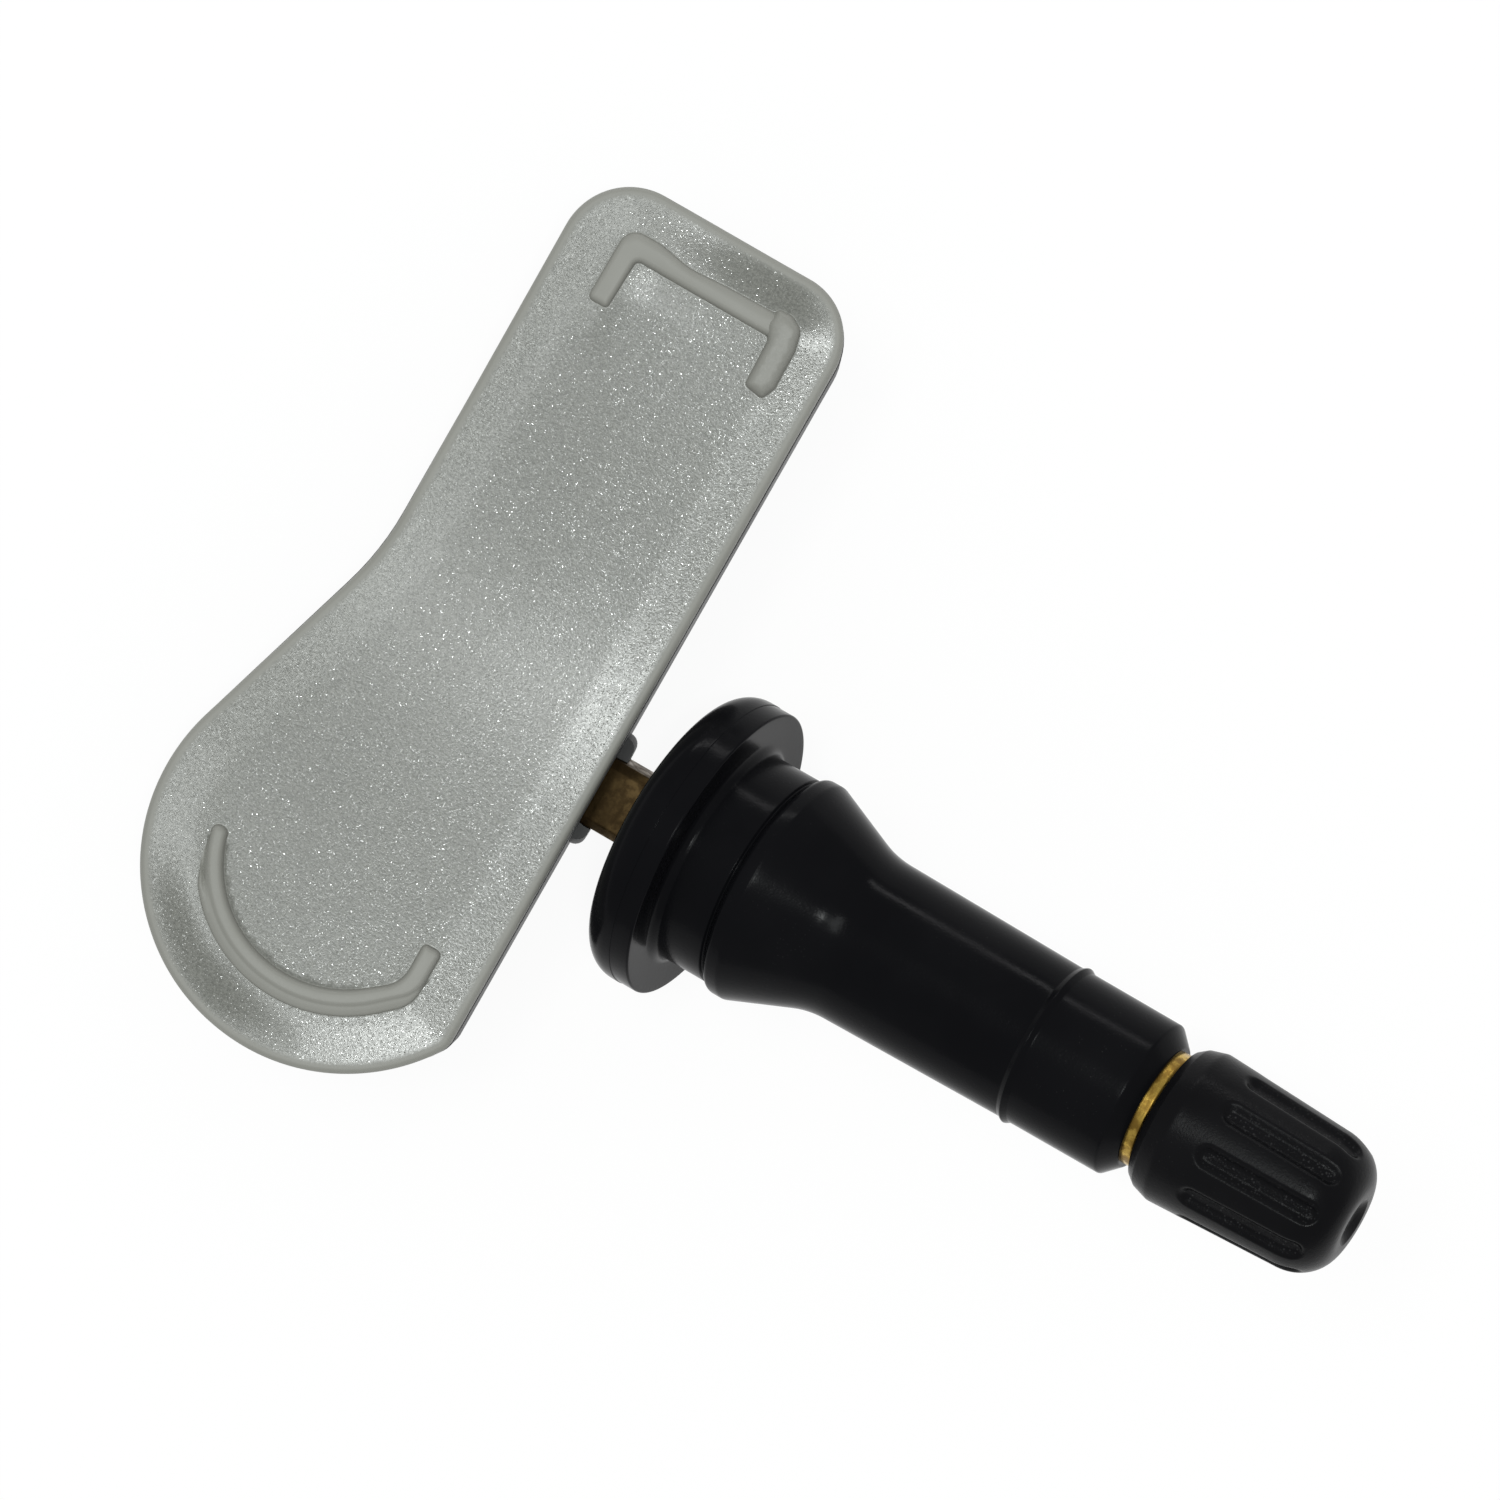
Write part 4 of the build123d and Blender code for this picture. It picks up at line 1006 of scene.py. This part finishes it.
# %% Points of the lid's top
EDGE_RINGS = (0.02, 0.06, 0.12, 0.19, 0.27, 0.36, 0.49, 0.59, 0.8)
RIB_RINGS = (-0.08, 0.0, 0.03, 0.08, 0.15, 0.24, 0.36)
TERRACE_RINGS = (-0.08, 0.0, 0.03, 0.08, 0.2)
CREASE_RINGS = (8.66, 8.72, 8.78, 8.85, 8.94)
GRID_PITCH, EDGE_BAND, RIB_GAP, GRID_OUTSIDE, GRID_INSIDE = 0.32, 1.0, 0.12, 0.2, 0.45


def clear_of(points, loop):
    """The points that lie well outside a loop."""
    return points[inside_distance(points, loop) < -RIB_GAP]


def lid_points():
    """All points of the lid's top in plan: the outline first, then rings and a grid."""
    edge_rings = [shifted(outline, t) for t in EDGE_RINGS]
    rib_rings = [shifted(loop, t) for loop in (pad_loop, c_rib_loop) for t in RIB_RINGS]
    rib_rings.append(clear_of(np.vstack([shifted(bracket_loop, t) for t in RIB_RINGS]), pad_loop))
    creases = [np.array(lobe_arc((r, r), 192, 228, 0.15))[:, :2] for r in CREASE_RINGS]
    rib_rings.append(clear_of(np.vstack([shifted(c_terrace_loop, t) for t in TERRACE_RINGS] + creases), c_rib_loop))
    low, high = outline.min(0), outline.max(0)
    gx, gy = np.meshgrid(np.arange(low[0], high[0], GRID_PITCH), np.arange(low[1], high[1], GRID_PITCH))
    grid = np.stack([gx.ravel(), gy.ravel()], 1)
    grid[:, 0] += GRID_PITCH / 2 * (np.round((grid[:, 1] - low[1]) / GRID_PITCH) % 2)
    room = inside_distance(grid, outline) > EDGE_BAND
    for loop in (bracket_loop, pad_loop, c_rib_loop, c_terrace_loop):
        near = inside_distance(grid, loop)
        room &= (near < -GRID_OUTSIDE) | (near > GRID_INSIDE)
    inner = np.vstack(rib_rings)
    inner = inner[inside_distance(inner, outline) > EDGE_BAND]
    return np.vstack([outline, *edge_rings, inner, grid[room]])


top_points = lid_points()
print("points of the lid's top:", len(top_points))

# %% Build the lid
def make_lid():
    """Joins the points into the lid's top and closes it with its sides and underside."""
    count = len(outline)
    ring = [(i, (i + 1) % count) for i in range(count)]
    plan = [Vector(p) for p in top_points]
    flat, _, triangles, came_from, _, _ = delaunay_2d_cdt(plan, ring, [], 1, 1e-5)
    flat = np.array([tuple(v) for v in flat])
    z, textured = lid_top(flat)
    top = [(x * MM, y * MM, h * MM) for (x, y), h in zip(flat, z)]
    made_by = {source: i for i, sources in enumerate(came_from) for source in sources}
    loops = [[made_by[i] for i in range(count)]]
    loops += [[len(top) + k * count + i for i in range(count)] for k in range(len(under_rings))]
    points = top + [tuple(p) for ring_points in under_rings for p in ring_points]
    sides = [(a[i], b[i], b[k], a[k]) for a, b in zip(loops, loops[1:]) for i, k in ring]
    under = tuple(reversed(loops[-1]))
    mesh = bpy.data.meshes.new("lid_cover")
    mesh.from_pydata(points, [], [tuple(t) for t in triangles] + sides + [under])
    mesh.polygons.foreach_set("use_smooth", [True] * len(mesh.polygons))
    grain = mesh.attributes.new("textured", "FLOAT", "POINT")
    grain.data.foreach_set("value", np.concatenate([textured, np.zeros(len(under_rings) * count)]))
    mesh.materials.append(lid_plastic)
    mesh.update()
    mesh.set_sharp_from_angle(angle=math.radians(50))
    print("lid faces:", len(mesh.polygons))
    return add_object("lid_cover", mesh)


lid_cover = make_lid()
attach(lid_cover, "sensor")
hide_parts("lid")

# %% [markdown]
# ## Floor, light and camera
# The photograph looks straight down on the lid from a good distance, so the camera has a long lens
# and no tilt, only a roll. Three small lamps hang overhead, and each draws a sheen on the part of
# the lid that tilts half-way between it and the camera. A thin low strip draws lines along the
# black rubber. The floor is white to the camera and in reflections, and keeps a faint shadow.

# %% Floor
FLOOR_HALF, FLOOR_GLOW, GLOW_SHARE = 3.0, 1.03, 0.9


def make_floor(height):
    """A wide pale floor that mostly glows where it is seen, so that it stays white."""
    corners = [(x * FLOOR_HALF, y * FLOOR_HALF, height) for x, y in ((-1, -1), (1, -1), (1, 1), (-1, 1))]
    mesh = bpy.data.meshes.new("floor")
    mesh.from_pydata(corners, [], [(0, 1, 2, 3)])
    material = bpy.data.materials.new("pale_floor")
    material.use_nodes = True
    tree = material.node_tree
    tree.nodes.remove(tree.nodes["Principled BSDF"])
    paint = add_node(tree, "ShaderNodeBsdfDiffuse", {"Color": (0.85, 0.85, 0.85)})[0]
    glow = add_node(tree, "ShaderNodeEmission", {"Color": (1.0, 1.0, 1.0), "Strength": FLOOR_GLOW})[0]
    rays = add_node(tree, "ShaderNodeLightPath")
    mirrored = rays["Is Glossy Ray"].math("MAXIMUM", rays["Is Transmission Ray"])
    share = rays["Is Camera Ray"].math("MAXIMUM", mirrored) * GLOW_SHARE
    mixed = add_node(tree, "ShaderNodeMixShader", {0: share, 1: paint, 2: glow})[0]
    fill(tree, tree.nodes["Material Output"].inputs, {"Surface": mixed})
    mesh.materials.append(material)
    floor = add_object("floor", mesh)


make_floor(cad_box[0].z)
print("floor height in mm:", round(cad_box[0].z / MM, 2))

# %% Lamps
WHITE, COOL = (1.0, 1.0, 1.0), (0.96, 1.0, 0.985)
LID_CENTRE, SLEEVE_CENTRE = (-0.01, 0.005, 0), (0.02, 0, 0.005)


def add_lamp(name, place, target, width, depth, watts, colour):
    """A soft rectangular lamp that points at a target, its width as near to X as it can be, in metres."""
    data = bpy.data.lights.new(name, "AREA")
    data.shape = "RECTANGLE"
    data.size, data.size_y, data.energy = width, depth, watts
    data.color = colour
    lamp = add_object(name, data)
    lamp.location = place
    back = (Vector(place) - Vector(target)).normalized()
    side = (Vector((1, 0, 0)) - back * back.x).normalized()
    lamp.rotation_euler = Matrix((side, back.cross(side), back)).transposed().to_euler()


add_lamp("valve_side_spot", (0.045, 0.0, 0.75), LID_CENTRE, 0.05, 0.05, 1.15, COOL)
add_lamp("middle_spot", (-0.10, 0.0, 0.75), LID_CENTRE, 0.08, 0.08, 0.20, COOL)
add_lamp("far_side_spot", (-0.20, 0.01, 0.72), LID_CENTRE, 0.12, 0.26, 0.90, COOL)
add_lamp("edge_strip", (-0.22, 0.54, 0.13), SLEEVE_CENTRE, 0.30, 0.025, 0.36, WHITE)
scene.world = bpy.data.worlds.new("soft_room")
scene.world.use_nodes = True
room_light = scene.world.node_tree.nodes["Background"].inputs
room_light["Color"].default_value = (1.0, 1.0, 1.0, 1.0)
room_light["Strength"].default_value = 0.50
scene.view_settings.view_transform = "Standard"

# %% Camera
camera_data = bpy.data.cameras.new("camera")
camera_data.lens = 156.0
camera_data.sensor_width = 36.0
camera_data.clip_start = 0.01
camera = add_object("camera", camera_data)
camera.location = (-1.429 * MM, 6.59 * MM, 397.84 * MM)
camera.rotation_euler = (0.0, 0.0, math.radians(29.71))
scene.camera = camera
print("camera height in mm:", round(camera.location.z / MM, 1))
